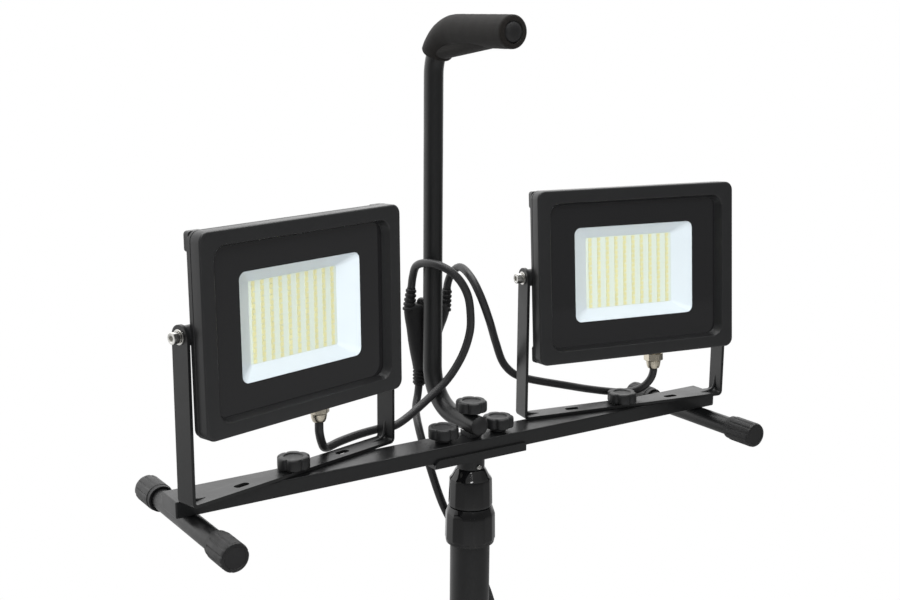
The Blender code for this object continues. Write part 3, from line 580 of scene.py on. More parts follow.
# ---- head: saddle, crossbar and feet
SADDLE_X, SADDLE_LOW = 0.053, -0.0043
BAR_HALF_X, BAR_HALF_Y, BAR_HIGH = 0.3085, 0.016, 0.015
FLANGE_IN, FLANGE_THICK = 0.0163, 0.0025
arc = [(-0.046 - 0.007 * sin(a), -0.003 + 0.007 * cos(a)) for a in quarter(8)]
flange = [(-SADDLE_X, SADDLE_LOW), (SADDLE_X, SADDLE_LOW), (SADDLE_X, 0.004)] + arc
plate = [(-SADDLE_X, SADDLE_LOW), (SADDLE_X, SADDLE_LOW), (SADDLE_X, -GAP), (-SADDLE_X, -GAP)]
saddle = carved(
    prism(plate, -FLANGE_IN, FLANGE_IN, "Y"), [rod(INNER_R + GAP, -0.0262, -0.0053),
     moved(rod(0.0018, 0.0, 0.006, 24), shift(0, -0.0155, -0.0133) @ ALONG_Y)],
    [prism(flange, -FLANGE_IN - FLANGE_THICK, -FLANGE_IN + 0.0001, "Y"),
     prism(flange, FLANGE_IN - 0.0001, FLANGE_IN + FLANGE_THICK, "Y"),
     rod(0.0135, -0.0162, -0.003)],
)
add("saddle", saddle, PAINT, "head", "mast_saddle", at=HEAD, bevel=0.0006)

screw_head = mm((0, 2.2), (1.7, 2), (2.5, 1), (2.5, 0.3), (1.5, 0.3), (1.5, -0.7), (0, -0.7))
screw = lathe(softened(screw_head, 0.0003, closed=False), 32)
cross = [block((-x, -y, 0.0012), (x, y, 0.004)) for x, y in ((0.0013, 0.0003), (0.0003, 0.0013))]
add("saddle_screw", carved(screw, cross), STEEL, "head", "head_screw",
    at=HEAD @ shift(0, -0.0135, -0.0133) @ turn("X", 90))

corners = [(sx * BAR_HALF_X, sy * BAR_HALF_Y) for sx, sy in ((-1, -1), (1, -1), (1, 1), (-1, 1))]
add("crossbar_tube", prism(corners, 0, BAR_HIGH, "Z"), PAINT, "head", "crossbar", at=HEAD,
    bevel=0.0014, segments=4)


def ribbed(radius, z, groove):
    """A ring of a foot cap, with twelve grooves."""
    points = circle(radius, z, 120)
    for i, p in enumerate(points):
        notch = max(0.0, 1.0 - abs((i * 12 / 120) % 1.0 - 0.5) / 0.16)
        p.xy = p.xy * (1 - groove * min(1.0, notch * 1.6) / radius)
    return points


def foot_cap(name, at, node):
    """A ribbed cap over a tube that ends at z = 0 and comes from below."""
    mouth, end = -0.0322, 0.0028
    rings = [ribbed(*ring) for ring in (
        (0.0098, 0.0, 0), (0.0098, mouth + 0.0006, 0), (0.0116, mouth, 0),
        (0.0119, mouth + 0.0003, 0), (0.012, mouth + 0.0045, 0), (0.0126, mouth + 0.0052, 0),
        (0.0127, mouth + 0.0064, 0.0008), (0.0127, -0.0006, 0.0008), (0.0125, 0.001, 0.0005),
        (0.0119, 0.0021, 0), (0.0108, 0.0026, 0), (0.0096, end, 0), (0.009, end - 0.0006, 0),
        (0.006, end - 0.0007, 0))]
    add(name, loft(rings + [tip(end - 0.0007)]), CAP, "head", node, at=at, angle=30)


FOOT_X, FOOT_HALF, PIPE_R = 0.2914, 0.0925, 0.0095
for word, side in SIDE.items():
    axis = HEAD @ shift(side * FOOT_X, 0, -GAP - PIPE_R)
    add(f"foot_pipe_{word}", tube_wall(PIPE_R, -FOOT_HALF, FOOT_HALF, 56), PAINT, "head",
        f"foot_tube_{word}", at=axis @ ALONG_Y)
    for place, y, outward in (("rear", FOOT_HALF, ALONG_Y), ("front", -FOOT_HALF, turn("X", 90))):
        foot_cap(f"cap_{word}_{place}", axis @ shift(y=y) @ outward, f"foot_cap_{word}_{place}")


# ---- knobs
def lobed(radius, z):
    """A ring with six lobes."""
    points = circle(radius, z, 144)
    for i, p in enumerate(points):
        wave = abs(cos(3 * tau * i / 144))
        p.xy = p.xy * (1.0 - 0.085 * (1.0 - wave) ** 2.0 * 1.6)
    return points


def knob(name, at, neck, stud, node):
    """A six-lobed knob that stands on z = 0, with its stud pointing down."""
    top, r = neck + 0.011, 0.0152
    stem = [(0.0038, 0.0), (0.0076, 0.0), (0.008, 0.0004), (0.008, neck + 0.0006),
            (0.0086, neck + 0.0012)]
    grip = [(0.0139, neck + 0.0004), (0.0148, neck + 0.0009), (r, neck + 0.002),
            (r, top - 0.0026), (0.988 * r, top - 0.0013), (0.95 * r, top - 0.0005), (0.9 * r, top)]
    dish = [(0.0096, top), (0.0091, top - 0.0002), (0.0086, top - 0.0011), (0.004, top - 0.0015)]
    rings = [circle(*ring, 144) for ring in stem] + [lobed(*ring) for ring in grip]
    rings += [circle(*ring, 144) for ring in dish] + [tip(top - 0.0016)]
    body = body_of(node)
    add(name, loft(rings), KNOB, body, node, at=at, angle=40)
    thread = [(0, -stud), (0.0033, -stud), (0.0038, -stud + 0.0006)]
    z = -stud + 0.0012
    while z < -0.0004:
        thread += [(0.0038, z), (0.0034, z + 0.0004)]
        z += 0.001
    thread += [(0.0036, 0.0002), (0, 0.0002)]
    add(f"{name}_stud", lathe(thread, 24), STEEL, body, at=at)


LOW_Z, HIGH_Z = 0.0283, 0.3984  # the handle's two level ends
for word, side in SIDE.items():
    beside = HEAD @ shift(side * 0.032, 0, BAR_TOP) @ turn("Z", 8 + 10 * side)
    on_bracket = bracket_frame(word) @ shift(z=0.0033) @ turn("Z", 10 * side)
    knob(f"side_knob_{word}", beside, 0.0035, 0.0215, f"bar_knob_{word}")
    knob(f"lamp_knob_{word}", on_bracket, 0.0, 0.01, f"bracket_knob_{word}")
knob("top_knob", HEAD @ shift(z=LOW_Z + PIPE_R + GAP) @ turn("Z", 12), 0.0016, 0.034, "handle_knob")

# ---- carry handle
HANDLE_Y, BEND, LOW_Y, HIGH_Y, GRIP_START = 0.0693, 0.042, -0.014, -0.057, radians(28.0)


def bend_point(angle, upper):
    """A point of the handle's upper or lower bend."""
    centre = HIGH_Z - BEND if upper else LOW_Z + BEND
    rise = BEND * sin(angle) * (1 if upper else -1)
    return Vector((0, HANDLE_Y - BEND + BEND * cos(angle), centre + rise))


def run_lengths(points):
    """The distance along the points at each of them."""
    out = [0.0]
    for a, b in zip(points, points[1:]):
        out.append(out[-1] + (b - a).length)
    return out


low_bend = [bend_point(a, False) for a in reversed(quarter(20))]
high_bend = [bend_point(a, True) for a in quarter(20)]
straight = [low_bend[-1].lerp(high_bend[0], i / 12) for i in range(1, 12)]
route = [Vector((0, LOW_Y, LOW_Z)), Vector((0, LOW_Y + 0.001, LOW_Z))] + low_bend + straight
route += high_bend + [Vector((0, HIGH_Y + 0.001, HIGH_Z)), Vector((0, HIGH_Y, HIGH_Z))]
add("handle_pipe", sweep(route, PIPE_R, 56), PAINT, "head", "handle_tube", at=HEAD)

grip_angles = [GRIP_START + (pi / 2 - GRIP_START) * i / 16 for i in range(17)]
grip_route = [bend_point(a, True) for a in grip_angles]
last = Vector((0, HIGH_Y - 0.002, HIGH_Z))
grip_route += [grip_route[-1].lerp(last, i / 14) for i in range(1, 15)]
lengths = run_lengths(grip_route)


def grip_ring(s, radius):
    """A ring round the grip's route, at a distance along it."""
    k = min(max(i for i in range(len(lengths)) if lengths[i] <= s), len(lengths) - 2)
    t = (s - lengths[k]) / (lengths[k + 1] - lengths[k])
    p = grip_route[k].lerp(grip_route[k + 1], t)
    side = Vector((1, 0, 0))
    up = (grip_route[k + 1] - grip_route[k]).normalized().cross(side)
    angles = (tau * i / 64 for i in range(64))
    return [p + (side * cos(a) + up * sin(a)) * radius for a in angles]


total, bore, skin = lengths[-1], 0.0102, 0.015
lip = [(0.0, 0.0128), (0.0005, 0.0142), (0.0018, 0.0149), (0.004, skin)]
wave = [skin + 0.00012 * sin(i * 1.9) * sin(i * 0.7) for i in range(40)]
uneven = [(0.004 + (total - 0.008) * i / 40, wave[i]) for i in range(1, 40)]
sleeve = [(0.0, bore)] + lip + uneven + [(total - s, r) for s, r in reversed(lip)] + [(total, bore)]
add("foam_sleeve", loft([grip_ring(s, r) for s, r in sleeve], closed=True), FOAM, "head",
    "handle_grip", at=HEAD, angle=60)

dome = mm((0, 4.5), (2.2, 4.4), (4.5, 4), (6.4, 3.3), (7.8, 2.5), (8.8, 1.6), (9.4, 0.8),
          (9.4, 0.3), (7.7, 0.3), (7.7, -9.5), (7, -10), (0, -10))
for word, y, z in (("low", LOW_Y, LOW_Z), ("high", HIGH_Y, HIGH_Z)):
    add(f"dome_plug_{word}", lathe(dome, 56), CAP, "head", f"handle_plug_{word}",
        at=HEAD @ shift(0, y, z) @ turn("X", 90))

cradle = carved(
    block((-0.0065, -0.009, BAR_TOP), (0.0065, 0.009, 0.0205)),
    [moved(rod(PIPE_R + GAP, -0.02, 0.02, 64), shift(z=LOW_Z) @ ALONG_Y),
     rod(STUD_HOLE_R, 0.01, 0.05, 32)])
add("cradle", cradle, KNOB, "head", "handle_cradle", at=HEAD, bevel=0.0006)


# ---- lamp brackets
def bracket_mesh():
    """The bent strip with its holes and slots, and the ribs pressed into its bends."""
    half, arm, bend, t, wide = 0.1187, PIVOT_Z - BAR_Z - BAR_TOP, 0.005, 0.003, 0.01
    arc = quarter(8)
    r = bend - t
    right = [(half - bend + bend * sin(a), bend - bend * cos(a)) for a in arc]
    right += [(half, arm + wide), (half - t, arm + wide)]
    right += [(half - bend + r * sin(a), bend - r * cos(a)) for a in reversed(arc)]
    strip = prism(right + [(-x, z) for x, z in reversed(right)], -wide, wide, "Y")
    above = arm + wide + 0.002
    cuts = []
    for sy in (-1, 1):
        corner = [(sy * wide * cos(a), arm + wide * sin(a)) for a in quarter(12)]
        corner += [(0, above), (sy * (wide + 0.002), above), (sy * (wide + 0.002), arm)]
        cuts.append(prism(corner, -0.2, 0.2, "X"))
    cuts.append(moved(rod(PIN_HOLE_R, -0.15, 0.15, 32), shift(z=arm) @ ALONG_X))
    cuts.append(rod(STUD_HOLE_R, -0.01, 0.01, 32))
    for side in (-1, 1):
        slot = []
        for end in (1, -1):
            for a in (pi * (i / 12 - 0.5) for i in range(13)):
                x = end * (0.004 + 0.0035 * cos(a)) + side * 0.0595
                slot.append((x, end * 0.0035 * sin(a)))
        cuts.append(prism(slot, -0.01, 0.01, "Z"))
    climb = [(-1.2, 17), (-0.5, 12), (0.1, 8.5), (1.1, 5.2), (2.6, 2.6), (5.2, 1.1), (8.5, 0.1),
             (12, -0.5), (17, -1.2)]
    ribs = [sweep([(side * (half - t - v * MM), 0, t + u * MM) for u, v in climb], 0.0015, 16)
            for side in (-1, 1)]
    return carved(strip, cuts), joined(*ribs)


for word in SIDE:
    strip_mesh, rib_mesh = bracket_mesh()
    body, at = f"bracket_{word}", bracket_frame(word)
    add(f"bracket_strip_{word}", strip_mesh, PAINT, body, body, at=at, bevel=0.0005)
    add(f"bracket_ribs_{word}", rib_mesh, PAINT, body, at=at)


# ---- lamps
HW, HH, FACE = 0.1133, 0.0858, -0.0245  # the bezel's half width and height, and its front
BOARD_FACE = -0.0044
GLAND_X, GLAND_Y = 0.035, 0.006


def bezel_sections():
    """Round the bezel's wall, from its front edge to the seam and back by the opening."""
    out = []
    for a in quarter(5):
        inset = 0.002 * (1 - sin(a))
        front = FACE + 0.002 * (1 - cos(a))
        out.append((HW - inset, HH - inset, 0.0085 - 0.6 * inset, front))
    for inset, y in ((0, -0.0129), (0.0005, -0.0125), (0.0005, -0.0121), (0, -0.0117),
                     (0, -0.0096), (0.0004, -0.0092)):
        out.append((HW - inset, HH - inset, 0.0081 if inset else 0.0085, y))
    return out + [
        (0.1005, 0.075, 0.013, -0.0092), (0.1005, 0.075, 0.013, -0.0164),
        (0.096, 0.0705, 0.01, -0.0164), (0.0962, 0.0707, 0.0101, -0.016),
        (0.0994, 0.0729, 0.0117, FACE + 0.0012), (0.0998, 0.0733, 0.0119, FACE + 0.0004),
        (0.1004, 0.0739, 0.0124, FACE)]


def emitters():
    """Ten columns of chips, each with its yellow emitter and the traces between them."""
    bm = bmesh.new()
    columns, rows, pitch_x, pitch_z = 10, 15, 0.01005, 0.00478

    def brick(x, z, half_x, half_z, near, far, index):
        size = Matrix.Diagonal((half_x * 2, abs(far - near), half_z * 2, 1))
        made = bmesh.ops.create_cube(bm, size=1.0, matrix=shift(x, (near + far) / 2, z) @ size)
        for face in {f for v in made["verts"] for f in v.link_faces}:
            face.material_index = index

    for c in range(columns):
        x = (c - (columns - 1) / 2) * pitch_x
        for r in range(rows):
            z = (r - (rows - 1) / 2) * pitch_z
            brick(x, z, 0.00175, 0.00175, BOARD_FACE, -0.0051, 0)
            brick(x, z, 0.0015, 0.0015, -0.0051, -0.00525, 1)
            if r < rows - 1:
                aside = 0.0007 if (r + c) % 2 else -0.0007
                brick(x + aside, z + pitch_z / 2, 0.0012, 0.00042, BOARD_FACE, -0.00448, 2)
    return bm


def hexagon(radius, z, sides, scale=1.0, limit=2.0):
    """A ring with six flats, whose corners are cut at a limit."""
    ring = circle(radius, z, sides)
    for k, p in enumerate(ring):
        a = (tau * k / sides + pi / 6) % (pi / 3) - pi / 6
        p.xy = p.xy * min(scale / cos(a), limit)
    return ring


BORDER = mm(
    (100, 74.5, 13, -12.5), (100, 74.5, 13, -16), (68.75, 47.1, 6.8, -16),
    (68.75, 47.1, 6.8, -15.8), (72.2, 50.7, 9, -15.7), (72.2, 50.7, 9, -12.5))
PANE = mm((68.7, 47.05, 6.8, -15.95), (68.7, 47.05, 6.8, -15.75))
CONE = mm(
    (70.5, 49, 8.2, -12.4), (70.5, 49, 8.2, -15.5), (69, 47.4, 7, -15.5), (68.6, 47, 6.8, -15),
    (50.6, 36.2, 2.4, -5), (50.2, 35.8, 2, -4.6), (51.8, 37.4, 2.2, -4.6), (71.8, 50.4, 9, -11.1),
    (96, 70, 10, -11.1), (96, 70, 10, -12.1))
PLATE = [(0.054, 0.04, 0.002, BOARD_FACE), (0.054, 0.04, 0.002, -0.0028)]
SHELL = mm(
    (100, 74.5, 10, -2.5), (100, 74.5, 10, -8.8), (112.5, 85.1, 8, -8.8), (112.5, 85.1, 8, -6.4),
    (111.9, 84.5, 7.8, -5.8), (104.8, 78.3, 12, -3.3), (103.6, 77.1, 12, -2.2),
    (103, 76.5, 12, 1.5), (102.2, 75.7, 12, 2.8), (98, 72, 14, 4.5))


def housing(word):
    """The finned rear shell, with bosses for the pivots, a pad for the gland and corner tabs."""
    fins = framed(mm((96, 56, 6, 3), (88, 44, 6, 20)), steps=6)
    pad = block((GLAND_X - 0.013, -0.0055, -0.084), (GLAND_X + 0.013, 0.018, -0.06))
    unions = [fins, pad, moved(rod(0.0085, -0.1154, 0.1154, 56), ALONG_X)]
    corners = [(-1, 1), (1, 1)] + ([(-1, -1), (1, -1)] if word == "right" else [])
    for sx, sz in corners:
        tab = mm((8.5, 8.5, 3, -7.5), (8.5, 8.5, 3, -2))
        unions.append(moved(framed(tab, steps=5), shift(sx * 0.103, 0, sz * 0.0765)))
    cuts = [block((-0.099, -0.05, -0.0735), (0.099, -0.0025, 0.0735))]
    for x in (-0.0825 + i * 0.024 for i in range(7)):
        cuts.append(block((x, 0.006, -0.07), (x + 0.021, 0.03, 0.07)))
    for end in (-1, 1):
        near, far = sorted((end * 0.106, end * 0.12))
        cuts.append(moved(rod(PIN_HOLE_R, near, far, 32), ALONG_X))
    cuts.append(moved(rod(0.0063, -0.086, -0.077, 40), shift(GLAND_X, GLAND_Y)))
    return carved(framed(SHELL), cuts, unions)


def bolt():
    """A pivot bolt along +Z, with a hexagon socket in its round head."""
    socket = [hexagon(0.0025, 0.124, 48, cos(pi / 6) * 1.08),
              hexagon(0.0025, 0.1266, 48, cos(pi / 6) * 1.08)]
    wall = [(0.0028, 0.1268), (0.0046, 0.1268), (0.005, 0.1264), (0.005, 0.1205),
            (0.003, 0.1205), (0.003, 0.107)]
    return loft([tip(0.124)] + socket + [circle(*ring) for ring in wall] + [tip(0.107)])


def gland():
    """A cable gland that hangs from the housing: thread, two hexagons and a domed end."""
    edge, corner = 1.035, 1.135  # how far a hexagon's corners reach, by its flats
    profile = [
        (4.6, -106.2, 0), (5.9, -78, 0), (6.1, -78.3, 0), (6.1, -84.2, 0),
        (8.3, -84.3, edge), (9.25, -84.8, corner), (9.25, -89, corner),
        (8.3, -89.5, edge), (7.7, -89.6, 0), (7.7, -90.4, 0), (7.95, -90.5, edge),
        (8.75, -91, corner), (8.75, -97.8, corner), (7.9, -98.5, edge),
        (7.6, -99, 0), (7.4, -101, 0), (6.9, -103.5, 0), (6.2, -105.5, 0), (5.6, -106.4, 0)]
    return loft([hexagon(r * MM, z * MM, 72, limit=limit) if limit else circle(r * MM, z * MM, 72)
                 for r, z, limit in profile], closed=True)


for word in SIDE:
    lamp, body = lamp_frame(word), f"lamp_{word}"
    add(f"bezel_{word}", framed(bezel_sections(), closed=True, steps=10), CASTING, body,
        f"front_bezel_{word}", at=lamp, angle=28)
    add(f"printed_border_{word}", framed(BORDER, closed=True, steps=10), PRINT, body,
        f"glass_{word}", at=lamp)
    add(f"window_{word}", framed(PANE, steps=10), WINDOW, body, at=lamp)
    add(f"reflector_cone_{word}", framed(CONE, closed=True, steps=10), REFLECTOR, body,
        f"reflector_{word}", at=lamp, angle=25)
    add(f"board_{word}", framed(PLATE, steps=4), BOARD, body, f"led_board_{word}", at=lamp,
        bevel=0.0002, segments=3)
    add(f"emitters_{word}", emitters(), [CHIP, EMITTER, TRACE], body, at=lamp)
    add(f"housing_{word}", housing(word), CASTING, body, f"rear_housing_{word}", at=lamp,
        bevel=0.0007)

    washer = mm((3.1, 118.9), (6.5, 118.9), (6.5, 119.9), (3.1, 119.9))
    for end, inward in ((-1, "left"), (1, "right")):
        bolt_at = lamp @ turn("Y", 90 * end)
        add(f"bolt_{word}_{inward}", bolt(), STEEL, body, f"pivot_bolt_{word}_{inward}", at=bolt_at)
        add(f"washer_{word}_{inward}", lathe(softened(washer, 0.0002), closed=True), STEEL, body,
            at=bolt_at)

    gland_at = lamp @ shift(GLAND_X, GLAND_Y)
    add(f"gland_body_{word}", gland(), NICKEL, body, f"gland_{word}", at=gland_at, angle=22)
    seal = mm((4.05, -105), (4.9, -105), (4.9, -106.6), (4.05, -107))
    add(f"gland_seal_{word}", lathe(softened(seal, 0.0002), 40, closed=True), SEAL, body,
        at=gland_at)


# ---- cords
CORD_R = 0.004


def smooth(route, spacing):
    """Evenly spaced points of a curve through the route, with its two end spans left straight."""
    ends = [2 * route[0] - route[1]] + route + [2 * route[-1] - route[-2]]
    fine = []
    for a, b, c, d in zip(ends, ends[1:], ends[2:], ends[3:]):
        s = (c - b).length ** 0.5
        before, after = (b - a).length ** 0.5, (d - c).length ** 0.5
        m = (c - b) + s * ((b - a) / before - (c - a) / (before + s))
        n = (c - b) + s * ((d - c) / after - (d - b) / (after + s))
        for t in (i / 24 for i in range(24)):
            p = b * (2 * t**3 - 3 * t**2 + 1) + c * (3 * t**2 - 2 * t**3)
            fine.append(p + m * (t**3 - 2 * t**2 + t) + n * (t**3 - t**2))
    fine.append(route[-1])
    lengths = run_lengths(fine)
    count = max(2, round(lengths[-1] / spacing))
    points, k = [], 0
    for i in range(count + 1):
        want = lengths[-1] * i / count
        while k < len(fine) - 2 and lengths[k + 1] < want:
            k += 1
        span = lengths[k + 1] - lengths[k]
        points.append(fine[k].lerp(fine[k + 1], (want - lengths[k]) / span if span else 0.0))
    return points


def from_mast(*points):
    """Points in millimetres from the mast's axis at the crossbar's underside."""
    return [Vector(p) * MM + Vector((0, MAST_Y, BAR_Z)) for p in points]


def nearest(points, target):
    target = from_mast(target)[0]
    return min(range(len(points)), key=lambda i: (points[i] - target).length)


def segment(name, points, bodies, ends, nodes=()):
    """One length of cord between two bodies that a joint joins, which stays on no body, or a length
    that lies on one body and rides on it.
    """
    obj = add(name, sweep(points, CORD_R, 20), CORD, None if ends else bodies[0], *nodes)
    if ends:
        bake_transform(obj)


splitter_at = HEAD @ shift(0.0055, 0.093, 0.0965) @ turn("Y", 7.0)
FORK_X, FORK_TOP = 0.0215, 0.047


def relief(low, high, root, tip_r):
    """A strain relief with five ribs, from a root radius to a tip radius."""
    bore, count = 0.0042, 5
    profile = [(bore, low)]
    for i in range(count):
        r = root + (tip_r - root) * i / (count - 1)
        a = low + (high - low) * i / count
        b = low + (high - low) * (i + 0.62) / count
        c = low + (high - low) * (i + 1) / count
        profile += [(r * 0.94, a), (r, a + (b - a) * 0.18), (r, b - (b - a) * 0.18)]
        profile += [(r * 0.94, b), (r * 0.8, b + (c - b) * 0.2), (r * 0.8, c)]
    return profile + [(bore, high)]


def ovals(sections):
    return [oval(*section) for section in mm(*sections)]


splitter = [loft(ovals([
    (6.6, 6.6, -36.6), (7.6, 7.6, -36.2), (8.2, 8.1, -35), (9.8, 9.0, -30), (13.5, 10.3, -20),
    (17.4, 11.1, -8), (21.0, 11.5, 5), (24.4, 11.6, 15), (26.2, 11.5, 21.5), (26.6, 11.2, 25.5),
    (26.2, 10.6, 28.5), (24.8, 9.4, 30.5), (21.5, 7.6, 31.4), (12.0, 4.0, 31.8)]) + [tip(0.0318)])]
for side in (-1, 1):
    fork = lathe(relief(0.024, FORK_TOP, 0.0066, 0.0054), 40, closed=True)
    splitter.append(moved(fork, shift(x=side * FORK_X)))
tail = [(r, -z) for r, z in relief(0.035, 0.053, 0.008, 0.0066)]
splitter.append(lathe(tail[::-1], 40, closed=True))
nub = mm((0, 37.8), (2.2, 37.5), (4.1, 36.3), (5.2, 34), (5.6, 25), (0, 25))
splitter.append(moved(lathe(nub, 32), shift(-0.0092, -0.003)))
add("splitter_shell", joined(*splitter), JACKET, "head", "cable_splitter", at=splitter_at, angle=32)


def gland_exit(word, *depths):
    return [lamp_frame(word) @ Vector((GLAND_X, GLAND_Y, depth)) for depth in depths]


def fork_entry(side):
    """The lead's last points, straight down into the splitter's fork."""
    return [splitter_at @ Vector((side * FORK_X, 0, FORK_TOP + z))
            for z in (0.0035, 0.0015, -0.007)]


left_route = gland_exit("left", -0.1, -0.108, -0.116) + from_mast(
    (-153, 18, 30), (-144, 27.5, 21), (-125, 35, 21.5), (-102, 41, 22.5), (-77, 46, 22.5),
    (-55, 48, 22.5), (-10.9, 48.8, 47.5), (4.9, 46.6, 61.5), (18.6, 43.1, 83.6),
    (23.1, 37.4, 107.6), (20.4, 32.6, 126.3), (13.3, 27.8, 147.7), (4.4, 29.4, 163.4),
    (-3.7, 36.3, 172.5), (-11.7, 50.9, 177.1), (-13.9, 76.5, 171.5), (-10.2, 90.3, 157.4),
) + fork_entry(-1)
right_route = gland_exit("right", -0.1, -0.107, -0.1095) + from_mast(
    (223.2, -7.5, 40.7), (217.8, 0.1, 29.9), (206.4, 14.1, 23.3), (192.2, 25, 23.8),
    (170.2, 31.4, 28.2), (141, 31, 36.5), (101.4, 41.1, 46.7), (88.5, 43.8, 51.4),
    (79.3, 45, 57.4), (69.5, 45.3, 68.5), (56.2, 40.2, 93.2), (39.5, 28.3, 120.2),
    (30, 30, 144.6), (28, 42.6, 160), (32.3, 69.5, 166.3), (33.9, 87.5, 156.3),
) + fork_entry(1)
# Each lead is cut at seam into a length by its lamp and a length by the head; hold and settle are
# passed as the far ends of these two lengths
for word, lead, hold, seam, settle in (
    ("left", left_route, (-144, 27.5, 21), (-125, 35, 21.5), (-77, 46, 22.5)),
    ("right", right_route, (215, 3.8, 27.4), (170.2, 31.4, 28.2), (141, 31, 36.5)),
):
    points = smooth(lead, 0.003)
    k = nearest(points, seam)
    segment(f"lead_{word}_lamp", points[: k + 1], (f"lamp_{word}", f"bracket_{word}"),
            (points[3], points[nearest(points, hold)]), nodes=(f"lead_{word}",))
    segment(f"lead_{word}_head", points[k:], (f"bracket_{word}", "head"),
            (points[k + 2], points[nearest(points, settle)]))

COIL_X, COIL_Y, COIL_START, COIL_END_R = -0.03, 0.345, 0.0578, 0.0572
CORD_LOW, CORD_STEP = 0.0043, 0.008  # a cord's centre on the floor, and from turn to turn
supply = [splitter_at @ Vector((0, 0, z)) for z in (-0.046, -0.054, -0.062)] + from_mast(
    (-9, 86, 22), (-18.5, 64, 6), (-17.5, 46, -27), (-4, 41, -70), (20, 39, -115),
    (47, 36, -170), (61, 40, -215), (64, 50, -265), (55, 64, -330), (34, 82, -420),
    (14, 100, -520), (4, 118, -640), (11, 138, -735), (19, 162, -783), (25, 190, -794.5),
    (27, 215, -795.7),
) + [Vector((COIL_X + 0.0572, COIL_Y + step, CORD_LOW)) for step in (-0.01, 0.008)]
points = smooth(supply, 0.004)
first, second = nearest(points, (-4, 41, -70)), nearest(points, (64, 50, -265))
low = nearest(points, (14, 100, -520))
segment("supply_top", points[: first + 1], ("head", "inner_mast"),
        (points[6], points[first - 2]), nodes=("main_cord",))
segment("supply_middle", points[first : second + 1], ("inner_mast", "middle_mast"),
        (points[first + 2], points[second - 2]))
segment("supply_low", points[second:], ("middle_mast", "base"), (points[second + 2], points[low]))


def eased(degrees, start, span):
    """From 0 to 1 as the angle passes a window."""
    t = min(max((degrees - start) / span, 0.0), 1.0)
    return t * t * (3 - 2 * t)


def coil_point(degrees):
    """Five and a half turns, two side by side and three high, that end towards the plug."""
    wide, thin, plug_z = 0.0484, 0.04, 0.0168
    r = COIL_START + (wide - COIL_START) * eased(degrees, 8, 90)
    r += (thin - wide) * eased(degrees, 300, 50) + (wide - thin) * eased(degrees, 1230, 50)
    z = CORD_LOW + CORD_STEP * eased(degrees, 610, 50) + CORD_STEP * eased(degrees, 920, 50)
    z -= CORD_STEP * eased(degrees, 1540, 50)
    r += (COIL_END_R - wide) * eased(degrees, 1830, 70) + 0.0028 * eased(degrees, 1900, 80)
    z += (plug_z - CORD_LOW - CORD_STEP) * eased(degrees, 1900, 80)
    a = radians(degrees)
    return Vector((COIL_X + r * cos(a), COIL_Y + r * sin(a), z))


plug_at = shift(COIL_X - 0.0703, COIL_Y - 0.0282, 0.0168) @ turn("Z", -20) @ turn("X", 90)
plug_sections = [
    (6.6, 6.6, -30), (7.0, 7.0, -29), (7.0, 7.0, -26.2), (6.0, 6.0, -25.6), (6.0, 6.0, -23.8),
    (7.4, 7.2, -23.2), (7.6, 7.4, -20.2), (6.4, 6.4, -19.6), (6.4, 6.4, -17.8), (8.0, 7.8, -17.2),
    (8.3, 8.0, -14.2), (7.2, 7.0, -13.6), (7.2, 7.0, -11.6), (8.8, 8.4, -10.4), (11.5, 10.2, -5),
    (15.0, 13.0, 2), (16.6, 15.6, 8.5), (17.0, 16.4, 13), (17.0, 16.4, 26.6), (16.4, 15.8, 27.9)]
plug = add("plug_shell", loft(ovals(plug_sections)), CAP, "base", "mains_plug", at=plug_at,
           angle=30)
pin = mm((0, 20), (2.3, 20), (2.3, 45.5), (2, 46.4), (1.2, 47), (0, 47.1))
pins = [moved(lathe(pin, 32), shift(x=side * 0.0095)) for side in (-1, 1)]
plug_pins = add("plug_pins", joined(*pins), STEEL, "base", at=plug_at)
turns = smooth([coil_point(8 + 4 * i) for i in range(494)], 0.005)
segment("supply_coil", turns, ("base",), None, nodes=("cord_coil",))

strap = [rounded(half_x, half_z, 0.003, y, 6) for half_x, half_z, y in (
    (0.0086, 0.01225, -0.004), (0.0086, 0.01225, 0.004), (0.0082, 0.012, 0.004),
    (0.0082, 0.012, -0.004))]
tie_at = shift(COIL_X, COIL_Y) @ turn("Z", -4) @ shift(0.0444, 0, 0.0123)
add("coil_tie", loft(strap, closed=True), STRAP, "base", at=tie_at)

# ---- floor, lights and camera
WHITE = (1, 1, 1, 1)
ground = Shader("studio_floor", (0.93, 0.93, 0.93), 0.75)
distance = ground.node("ShaderNodeVectorMath", {0: ground.coords}, operation="LENGTH")
fade = ground.ramp(distance.outputs["Value"], 0.45, 1.35, 0.0, 1.0)
on_floor = ground.node("ShaderNodeSeparateXYZ", {0: ground.coords})
backdrop = ground.ramp(on_floor.outputs["Y"], 0.7, 2.4, 0.0, 1.0)
seen = ground.node("ShaderNodeLightPath").outputs["Is Camera Ray"]
# The floor fades to white for the camera, and for other rays it glows behind the object
both = ground.node("ShaderNodeMix", {"Factor": seen, "A": backdrop, "B": fade})
glow = ground.node("ShaderNodeEmission", {"Color": WHITE, "Strength": 1.0})
ground.mottle(seen, (0.28, 0.28, 0.28), (0.93, 0.93, 0.93))
mix = ground.node("ShaderNodeMixShader", {
    "Fac": both.outputs["Result"], 1: ground.bsdf.outputs["BSDF"], 2: glow.outputs["Emission"]})
ground.surface(mix.outputs["Shader"])
disc = bmesh.new()
bmesh.ops.create_circle(disc, cap_ends=True, segments=96, radius=14.0)
floor_mesh = bpy.data.meshes.new("studio_floor")
disc.to_mesh(floor_mesh)
disc.free()
floor_mesh.materials.append(ground.material)
floor = bpy.data.objects.new("studio_floor", floor_mesh)
floor.location = (0, 0, -0.0002)
bpy.context.scene.collection.objects.link(floor)

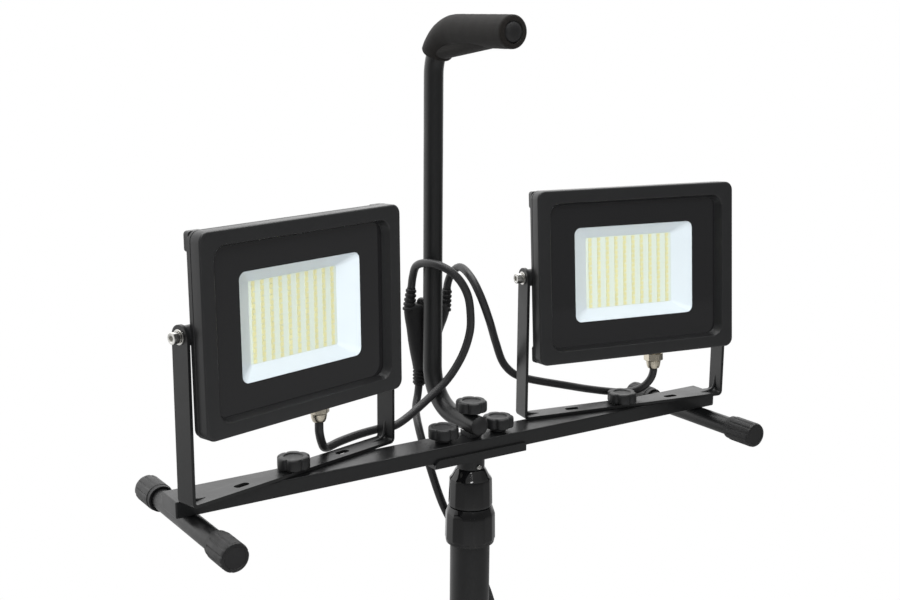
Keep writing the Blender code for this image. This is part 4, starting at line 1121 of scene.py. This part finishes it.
FRONT_GLOW, BACK_GLOW, TOP_GLOW = 0.19, 1.45, 0.35
scene = bpy.context.scene
world = scene.world = bpy.data.worlds.new("studio")
world.use_nodes = True
direction = add_node(world.node_tree, "ShaderNodeSeparateXYZ", {
    "Vector": add_node(world.node_tree, "ShaderNodeTexCoord").outputs["Generated"]})


def world_ramp(axis, *values):
    return add_node(world.node_tree, "ShaderNodeMapRange", limits(direction.outputs[axis], *values),
                    interpolation_type="SMOOTHSTEP").outputs["Result"]


# The backdrop behind the object and the ceiling are bright, the room behind the camera is dim
glows = add_node(world.node_tree, "ShaderNodeMath", {
    0: world_ramp("Y", -0.25, 0.65, FRONT_GLOW, BACK_GLOW),
    1: world_ramp("Z", 0.3, 0.9, 0.0, TOP_GLOW)})
lit = add_node(world.node_tree, "ShaderNodeBackground", {
    "Color": WHITE, "Strength": glows.outputs["Value"]})
background = world.node_tree.nodes["Background"]
background.inputs["Color"].default_value = WHITE
mixed = add_node(world.node_tree, "ShaderNodeMixShader", {
    "Fac": add_node(world.node_tree, "ShaderNodeLightPath").outputs["Is Camera Ray"],
    1: lit.outputs["Background"], 2: background.outputs["Background"]})
out = world.node_tree.nodes["World Output"].inputs["Surface"]
world.node_tree.links.new(mixed.outputs["Shader"], out)


def area(name, location, width, height, power, mirrored=True):
    """A rectangular light that faces the middle of the head."""
    light = bpy.data.lights.new(name, "AREA")
    light.shape, light.size, light.size_y, light.energy = "RECTANGLE", width, height, power
    obj = bpy.data.objects.new(name, light)
    obj.location = location
    aim = Vector((0, MAST_Y, 0.95)) - Vector(location)
    obj.rotation_euler = aim.to_track_quat("-Z", "Y").to_euler()
    obj.visible_glossy = mirrored
    scene.collection.objects.link(obj)


area("overhead", (0.1, 0.35, 2.6), 1.6, 1.2, 26)
area("key_left", (-0.9, -1.5, 2.4), 1.0, 1.0, 34, mirrored=False)
area("fill_front", (-0.7, -2.1, 1.2), 1.4, 1.0, 40, mirrored=False)
area("glint", (-0.75, -1.0, 2.9), 0.3, 0.3, 5)

# The camera looks down at the head from its left front
ASIDE, DOWN, ROLL = radians(-33.68), radians(12.2), radians(0.41)
forward = Vector((-sin(ASIDE) * cos(DOWN), cos(ASIDE) * cos(DOWN), -sin(DOWN)))
level = Vector((cos(ASIDE), sin(ASIDE), 0))
upright = level.cross(forward)
right = level * cos(ROLL) + upright * sin(ROLL)
up = upright * cos(ROLL) - level * sin(ROLL)
eye = Vector((0, MAST_Y, BAR_Z)) + Vector((-0.6934, -1.0021, 0.4124))
camera_data = bpy.data.cameras.new("camera")
camera_data.sensor_width = 36.0
camera_data.lens = 36.0 * 1318.7 / 900.0
camera = bpy.data.objects.new("camera", camera_data)
camera.matrix_world = Matrix(
    [(right[i], up[i], -forward[i], eye[i]) for i in range(3)] + [(0, 0, 0, 1)])
scene.collection.objects.link(camera)
scene.camera = camera
scene.view_settings.view_transform = "Standard"
scene.view_settings.look = "None"

bpy.context.view_layer.update()
